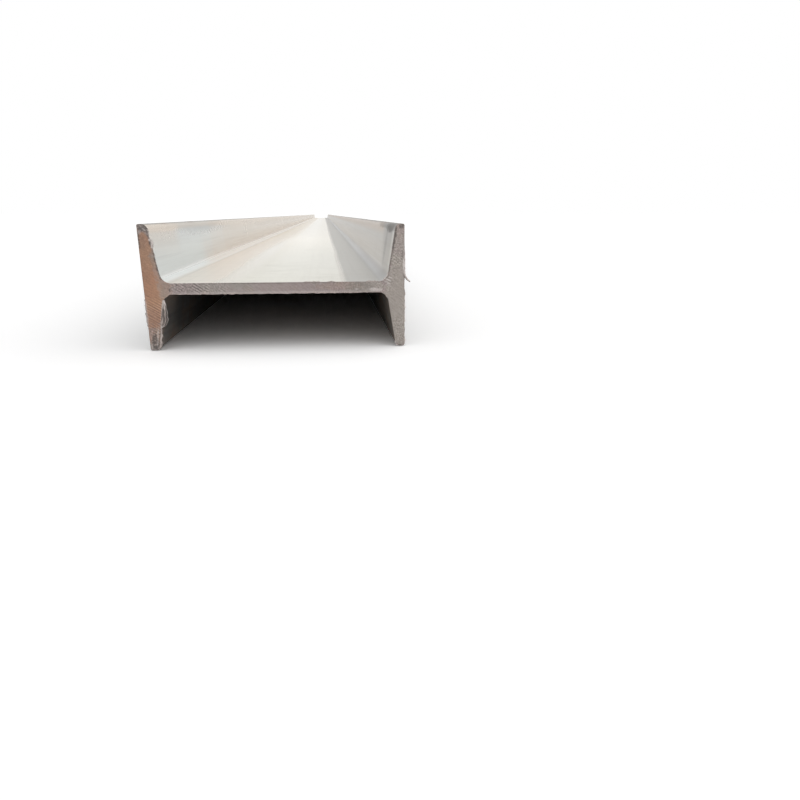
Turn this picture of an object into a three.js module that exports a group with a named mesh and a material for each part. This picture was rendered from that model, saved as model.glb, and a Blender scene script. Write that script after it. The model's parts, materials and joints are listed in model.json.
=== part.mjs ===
// Hot-rolled steel I-beam with tapered flanges, one piece of stock as it is sold by the length.
//
// The beam lies on its flange toes with the web level. Millimetres, +Z up.
//   X  across the section, from the back of one flange to the back of the other
//   Y  along the rolled length, 0 at the middle
//   Z  height above the floor, 0 at the lower toes

import * as THREE from 'three';

// Section, as the rolling standard lists it for this size.
const SECTION_DEPTH = 250; // back of flange to back of flange
const FLANGE_WIDTH = 118; // toe to toe
const WEB_THICKNESS = 10;
const MEAN_FLANGE_THICKNESS = 13; // halfway between the web's face and the toe
const FLANGE_SLOPE = 1 / 6; // rise of the inner face for each millimetre towards the web
const ROOT_RADIUS = 10; // fillet between the web and a flange's inner face
const TOE_RADIUS = 5; // inner edge of a toe
const BACK_EDGE_RADIUS = 1.5; // outer edge of a toe, where the roll pass leaves it nearly sharp

// Stock length, between the two sawn ends.
const BEAM_LENGTH = 12000;

// Straight steps along half of each rounded edge.
const STEPS_PER_HALF_ARC = 5;

// Dark mill scale with a thin bloom of rust.
const MILL_SCALE_COLOUR = 0x8c8379;
const MILL_SCALE_ROUGHNESS = 0.55;
const MILL_SCALE_METALNESS = 0.6;

/** A corner of an outline before rounding, and the radius that rounds it. */
function corner(x, y, radius) {
  return { point: new THREE.Vector2(x, y), radius };
}

/** The same corners on the other side of the vertical centre line, in the order that goes on round. */
function mirroredLeft(corners) {
  return corners.map(({ point, radius }) => corner(-point.x, point.y, radius)).reverse();
}

/** The arc that rounds one corner. A radius too large for the sides is limited to half the shorter one. */
function roundingArc(before, at, after) {
  const towardsBefore = before.point.clone().sub(at.point);
  const towardsAfter = after.point.clone().sub(at.point);
  const shorterSide = Math.min(towardsBefore.length(), towardsAfter.length());
  towardsBefore.normalize();
  towardsAfter.normalize();

  const halfAngle = towardsBefore.angleTo(towardsAfter) / 2;
  const setback = Math.min(at.radius / Math.tan(halfAngle), shorterSide / 2);
  const start = at.point.clone().addScaledVector(towardsBefore, setback);
  const end = at.point.clone().addScaledVector(towardsAfter, setback);
  const bisector = towardsBefore.clone().add(towardsAfter).normalize();
  const centre = at.point.clone().addScaledVector(bisector, setback / Math.cos(halfAngle));
  return {
    centre,
    radius: setback * Math.tan(halfAngle),
    startAngle: start.sub(centre).angle(),
    endAngle: end.sub(centre).angle(),
    clockwise: towardsBefore.cross(towardsAfter) > 0,
  };
}

/** A closed outline through the corners, each rounded by an arc that meets its two sides tangentially. */
function roundedOutline(corners) {
  const outline = new THREE.Shape();
  corners.forEach((at, i) => {
    const arc = roundingArc(corners.at(i - 1), at, corners[(i + 1) % corners.length]);
    outline.absarc(arc.centre.x, arc.centre.y, arc.radius, arc.startAngle, arc.endAngle, arc.clockwise);
  });
  outline.closePath();
  return outline;
}

/**
 * The rolled section, drawn with its web level and its lower toes on y = 0.
 * Each flange's inner face leans by the slope from a thick root at the web to a thin toe.
 */
function sectionOutline() {
  const back = SECTION_DEPTH / 2;
  const webFace = (FLANGE_WIDTH - WEB_THICKNESS) / 2;
  const taper = (FLANGE_SLOPE * webFace) / 2;
  const toeInside = back - (MEAN_FLANGE_THICKNESS - taper);
  const rootInside = back - (MEAN_FLANGE_THICKNESS + taper);

  const rightFlange = [
    corner(rootInside, webFace, ROOT_RADIUS),
    corner(toeInside, 0, TOE_RADIUS),
    corner(back, 0, BACK_EDGE_RADIUS),
    corner(back, FLANGE_WIDTH, BACK_EDGE_RADIUS),
    corner(toeInside, FLANGE_WIDTH, TOE_RADIUS),
    corner(rootInside, FLANGE_WIDTH - webFace, ROOT_RADIUS),
  ];
  return roundedOutline([...rightFlange, ...mirroredLeft(rightFlange)]);
}

/** The section drawn out to the stock length and laid along Y, with its middle at the origin. */
function rolledBeam() {
  const geometry = new THREE.ExtrudeGeometry(sectionOutline(), {
    depth: BEAM_LENGTH,
    bevelEnabled: false,
    curveSegments: STEPS_PER_HALF_ARC,
  });
  const material = new THREE.MeshStandardMaterial({
    color: MILL_SCALE_COLOUR,
    roughness: MILL_SCALE_ROUGHNESS,
    metalness: MILL_SCALE_METALNESS,
  });
  const beam = new THREE.Mesh(geometry, material);
  beam.name = 'steel_i_beam';
  beam.rotation.x = Math.PI / 2;
  beam.position.y = BEAM_LENGTH / 2;
  return beam;
}

const stock = new THREE.Group();
stock.add(rolledBeam());

export default stock;
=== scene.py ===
"""Hot-rolled steel I-beam with tapered flanges, one length of stock with square sawn ends.

The beam lies on its flange toes with the web level, along Y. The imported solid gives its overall
sizes. One closed mesh takes its place: the same section swept along the length with the slight
waviness of rolling, and both sawn ends in relief. Burrs left by the saw are pieces of their own.
All lengths are in metres.
"""
import json
import logging
import math
from dataclasses import dataclass
from enum import Enum, IntEnum
from typing import Any

import bpy
import numpy as np
from mathutils import Euler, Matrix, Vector


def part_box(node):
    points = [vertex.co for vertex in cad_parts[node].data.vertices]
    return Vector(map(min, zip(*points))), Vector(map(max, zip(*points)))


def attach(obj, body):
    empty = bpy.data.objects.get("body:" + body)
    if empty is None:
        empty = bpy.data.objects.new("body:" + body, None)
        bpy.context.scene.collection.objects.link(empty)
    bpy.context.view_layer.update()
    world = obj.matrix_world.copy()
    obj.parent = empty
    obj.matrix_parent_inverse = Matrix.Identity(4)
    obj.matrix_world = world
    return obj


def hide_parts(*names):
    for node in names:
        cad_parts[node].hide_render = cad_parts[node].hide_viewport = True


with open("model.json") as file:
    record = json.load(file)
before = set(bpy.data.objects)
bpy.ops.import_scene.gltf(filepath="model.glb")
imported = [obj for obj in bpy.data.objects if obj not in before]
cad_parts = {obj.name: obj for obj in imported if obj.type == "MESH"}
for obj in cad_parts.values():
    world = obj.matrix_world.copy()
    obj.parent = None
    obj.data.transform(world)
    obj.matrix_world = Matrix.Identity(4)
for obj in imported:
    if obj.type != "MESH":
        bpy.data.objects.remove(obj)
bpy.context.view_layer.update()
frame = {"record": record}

NODE = "steel_i_beam"
BODY = "root"
MM = 0.001

Colour = tuple[float, float, float]
Face = tuple[int, ...]
Key = str | int
Settings = dict[str, Any] | None
Inputs = dict[Key, Any] | None

# The values that each vertex of a sawn end carries to its finish.
CUT_VALUES = ("rust", "crush_and_shade", "bright", "drab", "mottle", "ridge")

# The roughness of the clear oily coat that a painted band of the trough may have.
COAT_ROUGHNESS = 0.15

# What brings noise round 0 to about -1 to 1.
FULL_SWING = 4.0

# A number too small to change anything, which keeps rounding and zero out of the way.
TINY = 1e-9

log = logging.getLogger("i_beam")


# ---- Node trees ----


class Wire:
    """A node's output socket that Python's operators work on, with a Math node for each."""

    def __init__(self, bench: "NodeBench", socket: bpy.types.NodeSocket) -> None:
        """Keeps the socket, and the bench that further nodes are added on."""
        self.bench = bench
        self.socket = socket

    def __add__(self, other: Any) -> "Wire":
        """The sum."""
        return self.bench.maths("ADD", self, other)

    def __sub__(self, other: Any) -> "Wire":
        """The difference."""
        return self.bench.maths("SUBTRACT", self, other)

    def __rsub__(self, other: Any) -> "Wire":
        """The difference from a number."""
        return self.bench.maths("SUBTRACT", other, self)

    def __mul__(self, other: Any) -> "Wire":
        """The product."""
        return self.bench.maths("MULTIPLY", self, other)

    def __truediv__(self, other: Any) -> "Wire":
        """The quotient."""
        return self.bench.maths("DIVIDE", self, other)

    def __pow__(self, other: Any) -> "Wire":
        """The power."""
        return self.bench.maths("POWER", self, other)

    def __abs__(self) -> "Wire":
        """The value without its sign."""
        return self.bench.maths("ABSOLUTE", self)

    __radd__ = __add__
    __rmul__ = __mul__

    def ramped(self, low: float, high: float, at_low: float = 0.0, at_high: float = 1.0) -> "Wire":
        """The value eased from one number to another between two limits.

        Args:
            low: The value at which the result is at_low. It may be above high.
            high: The value at which the result is at_high.
            at_low: The result at and before low.
            at_high: The result at and beyond high.

        Returns:
            The eased value.
        """
        limits = {"Value": self, 1: low, 2: high, 3: at_low, 4: at_high}
        return self.bench.wire("ShaderNodeMapRange", {"interpolation_type": "SMOOTHSTEP"}, limits)


class NodeBench:
    """Adds nodes to one tree: first their settings, then the values or links of their inputs."""

    def __init__(self, tree: bpy.types.NodeTree) -> None:
        """Keeps the tree."""
        self.tree = tree

    def node(self, kind: str, settings: Settings = None, inputs: Inputs = None) -> bpy.types.Node:
        """Adds a node.

        Args:
            kind: Blender's name for the type of node.
            settings: The node's properties.
            inputs: A value, a wire or a socket for each input, by the input's name or number.

        Returns:
            The node.
        """
        made = self.tree.nodes.new(kind)
        for name, value in (settings or {}).items():
            setattr(made, name, value)
        for key, value in (inputs or {}).items():
            self.feed(value, made.inputs[key])
        return made

    def feed(self, value: Any, socket: bpy.types.NodeSocket) -> None:
        """Links a wire or a socket to an input, or sets the input to a plain value.

        Args:
            value: The wire, the socket or the plain value.
            socket: The input.
        """
        if isinstance(value, Wire):
            value = value.socket
        if isinstance(value, bpy.types.NodeSocket):
            self.tree.links.new(value, socket)
        else:
            socket.default_value = value

    def wire(self, kind: str, settings: Settings = None, inputs: Inputs = None, output: Key = 0) -> Wire:
        """Adds a node as node() does, and returns one of its outputs as a wire."""
        return Wire(self, self.node(kind, settings, inputs).outputs[output])

    def maths(self, operation: str, *values: Any) -> Wire:
        """One Math node on up to three values."""
        return self.wire("ShaderNodeMath", {"operation": operation}, dict(enumerate(values)))

    def vector(self, operation: str, *values: Any, output: Key = 0) -> Wire:
        """One Vector Math node on up to three vectors."""
        return self.wire("ShaderNodeVectorMath", {"operation": operation}, dict(enumerate(values)), output)

    def scaled(self, vector: Wire, factor: Wire) -> Wire:
        """A vector times a number."""
        settings = {"operation": "SCALE"}
        return self.wire("ShaderNodeVectorMath", settings, {0: vector, "Scale": factor})

    def split(self, vector: Wire) -> tuple[Wire, Wire, Wire]:
        """The three numbers of a vector."""
        parts = self.node("ShaderNodeSeparateXYZ", inputs={0: vector})
        return tuple(Wire(self, parts.outputs[i]) for i in range(3))

    def joined(self, x: Any, y: Any, z: Any) -> Wire:
        """A vector of three numbers."""
        return self.wire("ShaderNodeCombineXYZ", inputs={0: x, 1: y, 2: z})

    def distance(self, x: Any, y: Any) -> Wire:
        """The length of the straight way across and up."""
        return self.vector("LENGTH", self.joined(x, y, 0.0), output="Value")

    def mixed(self, share: Any, first: Any, second: Any) -> Wire:
        """One number as the share goes from 0 to 1, from the first to the second."""
        return self.wire("ShaderNodeMix", {"data_type": "FLOAT"}, {0: share, 2: first, 3: second})


@dataclass(frozen=True)
class Noise:
    """One kind of noise.

    The cells are how many it has to a metre, in all directions or along each axis. The detail is
    how many finer layers it has, and the roughness is how strong they are.
    """

    cells: float | tuple[float, float, float]
    detail: float
    roughness: float


class ShaderBench(NodeBench):
    """The node tree of one material."""

    def __init__(self, name: str) -> None:
        """Makes the material with an empty tree.

        Args:
            name: The material's name.
        """
        self.material = bpy.data.materials.new(name)
        self.material.use_nodes = True
        super().__init__(self.material.node_tree)
        self.tree.nodes.clear()

    def place(self) -> Wire:
        """The point's place on the object, in metres."""
        return self.wire("ShaderNodeTexCoord", output="Object")

    def attribute(self, name: str) -> Wire:
        """A number that the mesh holds at each vertex."""
        return self.wire("ShaderNodeAttribute", {"attribute_name": name}, output="Fac")

    def noise(self, place: Wire, kind: Noise) -> Wire:
        """Noise from 0 to 1.

        Args:
            place: The point's place.
            kind: The kind of noise.

        Returns:
            The noise.
        """
        scale = kind.cells
        if not isinstance(scale, float):
            place, scale = self.vector("MULTIPLY", place, scale), 1.0
        inputs = {"Vector": place, "Scale": scale, "Detail": kind.detail, "Roughness": kind.roughness}
        return self.wire("ShaderNodeTexNoise", {"noise_dimensions": "3D"}, inputs)

    def tinted(self, share: Any, first: Any, second: Any, blend: str = "MIX") -> Wire:
        """A colour as the share goes from 0 to 1, from the first to the second.

        Args:
            share: The share of the second colour.
            first: A colour, or a wire that carries one.
            second: The other one.
            blend: How the second is laid on the first, in Blender's word for it.

        Returns:
            The colour.
        """
        first, second = (c if isinstance(c, Wire) else (*c, 1.0) for c in (first, second))
        settings = {"data_type": "RGBA", "blend_type": blend}
        return self.wire("ShaderNodeMix", settings, {0: share, 6: first, 7: second}, 2)

    def lit(self, colour: Any, light: Wire) -> Wire:
        """A colour times a brightness."""
        return self.tinted(1.0, colour, self.joined(light, light, light), "MULTIPLY")

    def steel(
        self,
        colour: Wire,
        metallic: Any,
        roughness: Any,
        height: Wire,
        relief: float,
        sheen: Colour = (1.0, 1.0, 1.0),
        gloss: Any = 0.0,
    ) -> bpy.types.Material:
        """Ends the tree in one Principled surface.

        Args:
            colour: Its base colour.
            metallic: How far it is bare metal.
            roughness: Its roughness.
            height: The fine relief, from 0 to 1.
            relief: The depth of that relief in metres.
            sheen: The tint of its shine at a grazing angle.
            gloss: The share of a clear coat over it.

        Returns:
            The material.
        """
        normal = self.node("ShaderNodeBump", inputs={"Strength": 1.0, "Distance": relief, "Height": height})
        surface = {
            "Base Color": colour,
            "Metallic": metallic,
            "Roughness": roughness,
            "Specular Tint": (*sheen, 1.0),
            "Coat Weight": gloss,
            "Coat Roughness": COAT_ROUGHNESS,
            "Normal": normal.outputs[0],
        }
        shader = self.node("ShaderNodeBsdfPrincipled", inputs=surface)
        self.node("ShaderNodeOutputMaterial", inputs={"Surface": shader.outputs[0]})
        return self.material


class ShapeBench(NodeBench):
    """A Geometry Nodes tree with named inputs, which turns a plan mesh into a plain mesh."""

    def __init__(self, name: str, inputs: dict[str, tuple[str, Any]]) -> None:
        """Makes the tree and its inputs.

        Args:
            name: The tree's name.
            inputs: For each named input, the kind of its socket and its value.
        """
        super().__init__(bpy.data.node_groups.new(name, "GeometryNodeTree"))
        sockets = self.tree.interface
        sockets.new_socket("Plan", in_out="INPUT", socket_type="NodeSocketGeometry")
        sockets.new_socket("Shape", in_out="OUTPUT", socket_type="NodeSocketGeometry")
        self.values: dict[str, Any] = {}
        for label, (kind, value) in inputs.items():
            made = sockets.new_socket(label, in_out="INPUT", socket_type=f"NodeSocket{kind}")
            self.values[made.identifier] = value
        self.start = self.node("NodeGroupInput")

    def given(self, label: str) -> Wire:
        """One of the tree's named inputs."""
        return Wire(self, self.start.outputs[label])

    def stored(self, name: str, kind: str) -> Wire:
        """A value that the plan holds at each vertex."""
        return self.wire("GeometryNodeInputNamedAttribute", {"data_type": kind}, {"Name": name})

    def kept(self, shape: Wire, name: str, value: Wire) -> Wire:
        """The shape with a number stored at each of its points.

        Args:
            shape: The geometry.
            name: The number's name.
            value: The number.

        Returns:
            The geometry with it.
        """
        settings = {"data_type": "FLOAT", "domain": "POINT"}
        inputs = {0: shape, "Name": name, "Value": value}
        return self.wire("GeometryNodeStoreNamedAttribute", settings, inputs)

    def moved(self, shape: Wire, offset: Wire) -> Wire:
        """The shape with its points moved."""
        return self.wire("GeometryNodeSetPosition", inputs={0: shape, "Offset": offset})

    def facing(self, rails: Wire, normal: Any) -> Wire:
        """Curves with a given normal, which turns what is swept along them."""
        return self.wire("GeometryNodeSetCurveNormal", {"mode": "FREE"}, {0: rails, "Normal": normal})

    def noise(self, place: Wire, scale: Wire, seed: Wire, detail: float, output: Key = 0) -> Wire:
        """Noise that a seed chooses.

        Args:
            place: The point's place.
            scale: Its cells to a metre.
            seed: The seed.
            detail: How many finer layers it has.
            output: The noise as a number, or as a vector by the name Color.

        Returns:
            The noise.
        """
        inputs = {"Vector": place, "W": seed, "Scale": scale, "Detail": detail}
        return self.wire("ShaderNodeTexNoise", {"noise_dimensions": "4D"}, inputs, output)

    def finish(self, shape: Wire, material: bpy.types.Material) -> None:
        """Ends the tree: instances become mesh, and the mesh gets its material.

        Args:
            shape: The geometry.
            material: Its finish.
        """
        real = self.wire("GeometryNodeRealizeInstances", inputs={"Geometry": shape})
        dressed = self.wire("GeometryNodeSetMaterial", inputs={"Geometry": real, "Material": material})
        self.node("NodeGroupOutput", inputs={"Shape": dressed})

    def shape(self, plan: bpy.types.Mesh) -> bpy.types.Mesh:
        """Runs the tree on a plan.

        Args:
            plan: The mesh that the tree starts from.

        Returns:
            The result as a plain mesh.
        """
        carrier = placed(plan.name, plan)
        modifier = carrier.modifiers.new("shape", "NODES")
        modifier.node_group = self.tree
        for identifier, value in self.values.items():
            modifier[identifier] = value
        result = carrier.evaluated_get(bpy.context.evaluated_depsgraph_get())
        mesh = bpy.data.meshes.new_from_object(result)
        bpy.data.objects.remove(carrier)
        return mesh


# ---- Finishes ----


@dataclass(frozen=True)
class PaintedBand:
    """One lengthwise band of painted sheen, light and shade on the scale in the upper trough.

    The gloss is the share of a clear oily coat over it.
    """

    colour: Colour
    metallic: float
    roughness: float
    gloss: float = 0.0


# The share of each painted band and the band, the lowest first.
Bands = list[tuple[Any, PaintedBand]]


class TroughSide(Enum):
    """One of the two flanges beside the upper trough, as the sign of its x."""

    LEFT = -1
    RIGHT = 1


class TroughSpot:
    """A point of the upper trough: where it lies, in metres, and which part of the trough that is.

    The height is above the web, from_near is the distance from the near end, and from_end is the
    distance from the nearer one of the two ends. The swing is broad noise round 0, by which borders
    wander. The wall is 1 on the flanges' inner faces, left and right are 1 on one of them each, and
    high rises from 0 at their foot to 1 at their toe.
    """

    broad: Noise = Noise(5.0, 2.0, 0.5)

    def __init__(self, bench: ShaderBench, place: Wire, trough_floor: float, half_length: float) -> None:
        """Works the distances and the shares out.

        Args:
            bench: The material's node tree.
            place: The point's place.
            trough_floor: Height of the web's upper face above the floor.
            half_length: Half the beam's length.
        """
        x, y, z = bench.split(place)
        self.x = x
        self.height = z - trough_floor
        self.from_near = y + half_length
        self.from_end = half_length - abs(y)
        self.swing = bench.noise(place, self.broad) - 0.5
        self.wall = abs(x).ramped(0.100, 0.106)
        self.left = self.wall * x.ramped(0.001, -0.001)
        self.right = self.wall * x.ramped(-0.001, 0.001)
        self.high = (self.height + self.swing * 0.006).ramped(0.014, 0.050)


@dataclass(frozen=True)
class Stain:
    """An oval darker place on a flange's inner face in the upper trough.

    It lies that far from the near end and above the web, and along and up are half its sizes, all
    in metres.
    """

    side: TroughSide
    from_near: float
    height: float
    along: float
    up: float
    strength: float

    def cover(self, bench: ShaderBench, spot: TroughSpot, ragged: Wire) -> Wire:
        """How far the stain covers a point.

        Args:
            bench: The material's node tree.
            spot: Where the point lies.
            ragged: Noise that frays the stain's border.

        Returns:
            The cover, from 0 to the stain's strength.
        """
        along = (spot.from_near - self.from_near) / self.along
        up = (spot.height - self.height) / self.up
        away = bench.distance(along, up) + (ragged - 0.5) * 1.6
        return away.ramped(1.1, 0.6) * (spot.x * self.side.value).ramped(0.0, 0.001) * self.strength


@dataclass(frozen=True)
class TroughLightAndStains:
    """Painted sheen, light and shade in bands along the upper trough's web and flanges, and stains.

    A crease is painted shade with a duller finish along a root fillet's foot, and the shoulder is
    painted shade near the left fillet's top. Each of their values is the share of shade in it.
    """

    trough_floor: float
    half_length: float
    # The web's bands paint its grazing sheen, creamier away from the ends and greyer on the right.
    middle: PaintedBand = PaintedBand((0.510, 0.535, 0.520), 1.00, 0.13)
    far_middle: PaintedBand = PaintedBand((0.700, 0.645, 0.505), 1.00, 0.11, 0.4)
    left_middle: PaintedBand = PaintedBand((0.560, 0.585, 0.575), 1.00, 0.17, 0.8)
    left_web: PaintedBand = PaintedBand((0.690, 0.630, 0.585), 0.85, 0.28, 0.5)
    far_left_web: PaintedBand = PaintedBand((0.620, 0.545, 0.450), 0.85, 0.28, 0.3)
    between: PaintedBand = PaintedBand((0.490, 0.480, 0.460), 0.70, 0.22)
    right_web: PaintedBand = PaintedBand((0.408, 0.402, 0.388), 0.45, 0.36)
    # The left face is paler as a painted lit face, the right one greyer as a painted shaded face.
    left_wall: PaintedBand = PaintedBand((0.880, 0.935, 0.950), 0.50, 0.24)
    left_wall_top: PaintedBand = PaintedBand((0.560, 0.590, 0.605), 0.50, 0.26)
    warm_wall: PaintedBand = PaintedBand((0.900, 0.810, 0.730), 0.50, 0.26)
    warm_wall_top: PaintedBand = PaintedBand((0.660, 0.580, 0.510), 0.50, 0.26)
    right_wall: PaintedBand = PaintedBand((0.682, 0.700, 0.735), 0.45, 0.28)
    # A painted light band at the foot of the right face.
    right_foot: PaintedBand = PaintedBand((0.900, 0.915, 0.970), 0.45, 0.28)
    right_wall_top: PaintedBand = PaintedBand((0.488, 0.495, 0.515), 0.45, 0.28)
    right_toe: PaintedBand = PaintedBand((0.470, 0.380, 0.325), 0.45, 0.30)
    # Painted shade on the right face near the near end.
    right_wall_end: PaintedBand = PaintedBand((0.360, 0.360, 0.375), 0.45, 0.34)
    # A painted highlight on the right face right beside each end.
    rim: PaintedBand = PaintedBand((0.800, 0.800, 0.800), 0.50, 0.28)
    left_crease: float = 0.30
    right_crease: float = 0.76
    left_shoulder: float = 0.42
    crease_roughness: float = 0.39
    stain_roughness: float = 0.80
    # The colour of the stains, and of painted shade in the right crease near the near end.
    dirt_and_shade: Colour = (0.200, 0.185, 0.170)
    # The colour of the real hazy streaks across the web and of the painted shade in the creases.
    haze_and_shade: Colour = (0.330, 0.325, 0.310)
    hazes: Noise = Noise((5.0, 70.0, 5.0), 3.0, 0.6)
    frays: Noise = Noise(95.0, 4.0, 0.65)
    stains: tuple[Stain, ...] = (
        Stain(TroughSide.RIGHT, 0.042, 0.0510, 0.050, 0.0068, 0.75),
        Stain(TroughSide.RIGHT, 0.13, 0.0515, 0.07, 0.004, 0.30),
        # A narrow upright darker streak.
        Stain(TroughSide.RIGHT, 0.074, 0.0300, 0.014, 0.022, 0.17),
        Stain(TroughSide.LEFT, 0.30, 0.0530, 0.21, 0.013, 0.12),
    )

    def lay(self, bench: ShaderBench, place: Wire, streaks: Wire) -> tuple[Wire, Wire, Wire, Wire]:
        """Builds the painted bands, the painted shade in the creases and the stains.

        Args:
            bench: The material's node tree.
            place: The point's place.
            streaks: Noise drawn out along the beam.

        Returns:
            The colour, the metallic value, the roughness and the gloss.
        """
        spot = TroughSpot(bench, place, self.trough_floor, self.half_length)
        bands = self.web_bands(spot, streaks) + self.left_bands(spot) + self.right_bands(spot)
        colour, metallic, roughness, gloss = self.banded(bench, bands)

        hazy = bench.noise(place, self.hazes).ramped(0.58, 0.74) * (1.0 - spot.wall) * 0.35
        # Painted shade in the creases of the root fillets.
        creased = self.creases(bench, spot)
        # Painted shade in the right crease near the near end.
        crease_end_shade = creased * spot.right * spot.from_near.ramped(0.18, 0.02) * 0.4
        colour = bench.tinted(bench.maths("MAXIMUM", hazy, creased), colour, self.haze_and_shade)
        # Painted shade in a narrow line near the top of the left root fillet.
        colour = bench.tinted(self.shoulder(spot), colour, self.haze_and_shade)
        colour = bench.tinted(crease_end_shade, colour, self.dirt_and_shade)
        roughness = bench.mixed(creased, roughness, self.crease_roughness)
        metallic = metallic * (1.0 - creased)

        ragged = bench.noise(place, self.frays)
        for stain in self.stains:
            cover = stain.cover(bench, spot, ragged)
            colour = bench.tinted(cover, colour, self.dirt_and_shade)
            roughness = bench.mixed(cover, roughness, self.stain_roughness)
            metallic = metallic * (1.0 - cover)
        return colour, metallic, roughness, gloss

    def banded(self, bench: ShaderBench, bands: Bands) -> tuple[Wire, Wire, Wire, Wire]:
        """Lays painted bands over each other.

        Args:
            bench: The material's node tree.
            bands: The painted bands.

        Returns:
            Their colour, metallic value, roughness and gloss.
        """
        first = bands[0][1]
        colour, metallic, roughness, gloss = first.colour, first.metallic, first.roughness, first.gloss
        for share, trough_light_and_stains in bands[1:]:
            colour = bench.tinted(share, colour, trough_light_and_stains.colour)
            metallic = bench.mixed(share, metallic, trough_light_and_stains.metallic)
            roughness = bench.mixed(share, roughness, trough_light_and_stains.roughness)
            gloss = bench.mixed(share, gloss, trough_light_and_stains.gloss)
        return colour, metallic, roughness, gloss

    def web_bands(self, spot: TroughSpot, streaks: Wire) -> Bands:
        """The painted sheen along the web, creamier away from the ends, with a greyer painted
        reflection on the right.

        Args:
            spot: Where the point lies.
            streaks: Noise drawn out along the beam, by which the right border wanders.

        Returns:
            The bands.
        """
        border = spot.from_end.ramped(0.3, 2.0, -0.060, -0.040)
        softness = spot.from_end.ramped(0.2, 1.6, 0.007, 0.036)
        left = ((spot.x - border + spot.swing * 0.02) / softness).ramped(0.5, -0.5)
        wander = spot.x + (streaks - 0.5) * 0.010
        fading = spot.x.ramped(0.0, 0.058) * 0.35
        return [
            (1.0, self.middle),
            (spot.from_end.ramped(0.15, 1.3), self.far_middle),
            (spot.x.ramped(-0.026, -0.052) * spot.from_end.ramped(1.4, 0.6), self.left_middle),
            (left, self.left_web),
            (left * spot.from_end.ramped(0.4, 2.0), self.far_left_web),
            (fading + wander.ramped(0.0605, 0.0640) * 0.65, self.between),
            (wander.ramped(0.0645, 0.0690), self.right_web),
        ]

    def left_bands(self, spot: TroughSpot) -> Bands:
        """The painted sheen on the left flange's inner face: paler as a painted lit face, and warm
        away from the ends.

        Args:
            spot: Where the point lies.

        Returns:
            The bands.
        """
        warm = (spot.from_end + spot.swing * 0.5 - spot.height * 4.0).ramped(0.10, 0.45)
        at_toe = spot.height.ramped(0.044, 0.050) + spot.from_end.ramped(0.16, 0.10)
        warm_top = (warm + at_toe * 0.6).ramped(0.0, 1.0)
        return [
            (spot.left, self.left_wall),
            (spot.left * spot.high, self.left_wall_top),
            (spot.left * warm * (1.0 - spot.high), self.warm_wall),
            (spot.left * spot.high * warm_top, self.warm_wall_top),
        ]

    def right_bands(self, spot: TroughSpot) -> Bands:
        """The painted sheen on the right flange's inner face: greyer as a painted shaded face, with
        painted shade at the near end, a painted light band at its foot near the ends and a
        painted highlight right beside each end.

        Args:
            spot: Where the point lies.

        Returns:
            The bands.
        """
        # A painted light band at the face's foot near the ends.
        foot = spot.height.ramped(0.016, 0.010) * spot.from_end.ramped(0.5, 0.2)
        # Painted shade near the near end, reaching further along higher up.
        shaded = (spot.from_near + spot.swing * 0.06 - spot.height * 1.2).ramped(0.09, 0.02)
        return [
            (spot.right, self.right_wall),
            (spot.right * foot * 0.45, self.right_foot),
            (spot.right * spot.high, self.right_wall_top),
            (spot.right * spot.height.ramped(0.038, 0.048) * 0.8, self.right_toe),
            (spot.right * shaded * (0.4 + spot.high * 0.6), self.right_wall_end),
            # A painted highlight right beside each end.
            (spot.right * spot.from_end.ramped(0.022, 0.012) * 0.42, self.rim),
        ]

    def creases(self, bench: ShaderBench, spot: TroughSpot) -> Wire:
        """The share of painted shade, with a duller finish, in the creases of the two root fillets.

        Args:
            bench: The material's node tree.
            spot: Where the point lies.

        Returns:
            The share.
        """
        on_right = spot.x.ramped(-0.01, 0.01)
        right_share = spot.from_end.ramped(0.25, 0.6, 1.0, 0.75) * self.right_crease
        share = bench.mixed(on_right, self.left_crease, right_share)
        low = bench.mixed(on_right, spot.height.ramped(0.0065, 0.0025), spot.height.ramped(0.0105, 0.004))
        return abs(spot.x).ramped(0.0985, 0.1015) * low * share

    def shoulder(self, spot: TroughSpot) -> Wire:
        """The share of painted shade in the narrow line near the top of the left root fillet.

        Args:
            spot: Where the point lies.

        Returns:
            The share.
        """
        line = spot.height.ramped(0.0026, 0.0066) * spot.height.ramped(0.0084, 0.0070)
        fading = spot.from_end.ramped(0.15, 0.8, 0.7, 1.0)
        return line * self.left_shoulder * fading * spot.left


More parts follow.
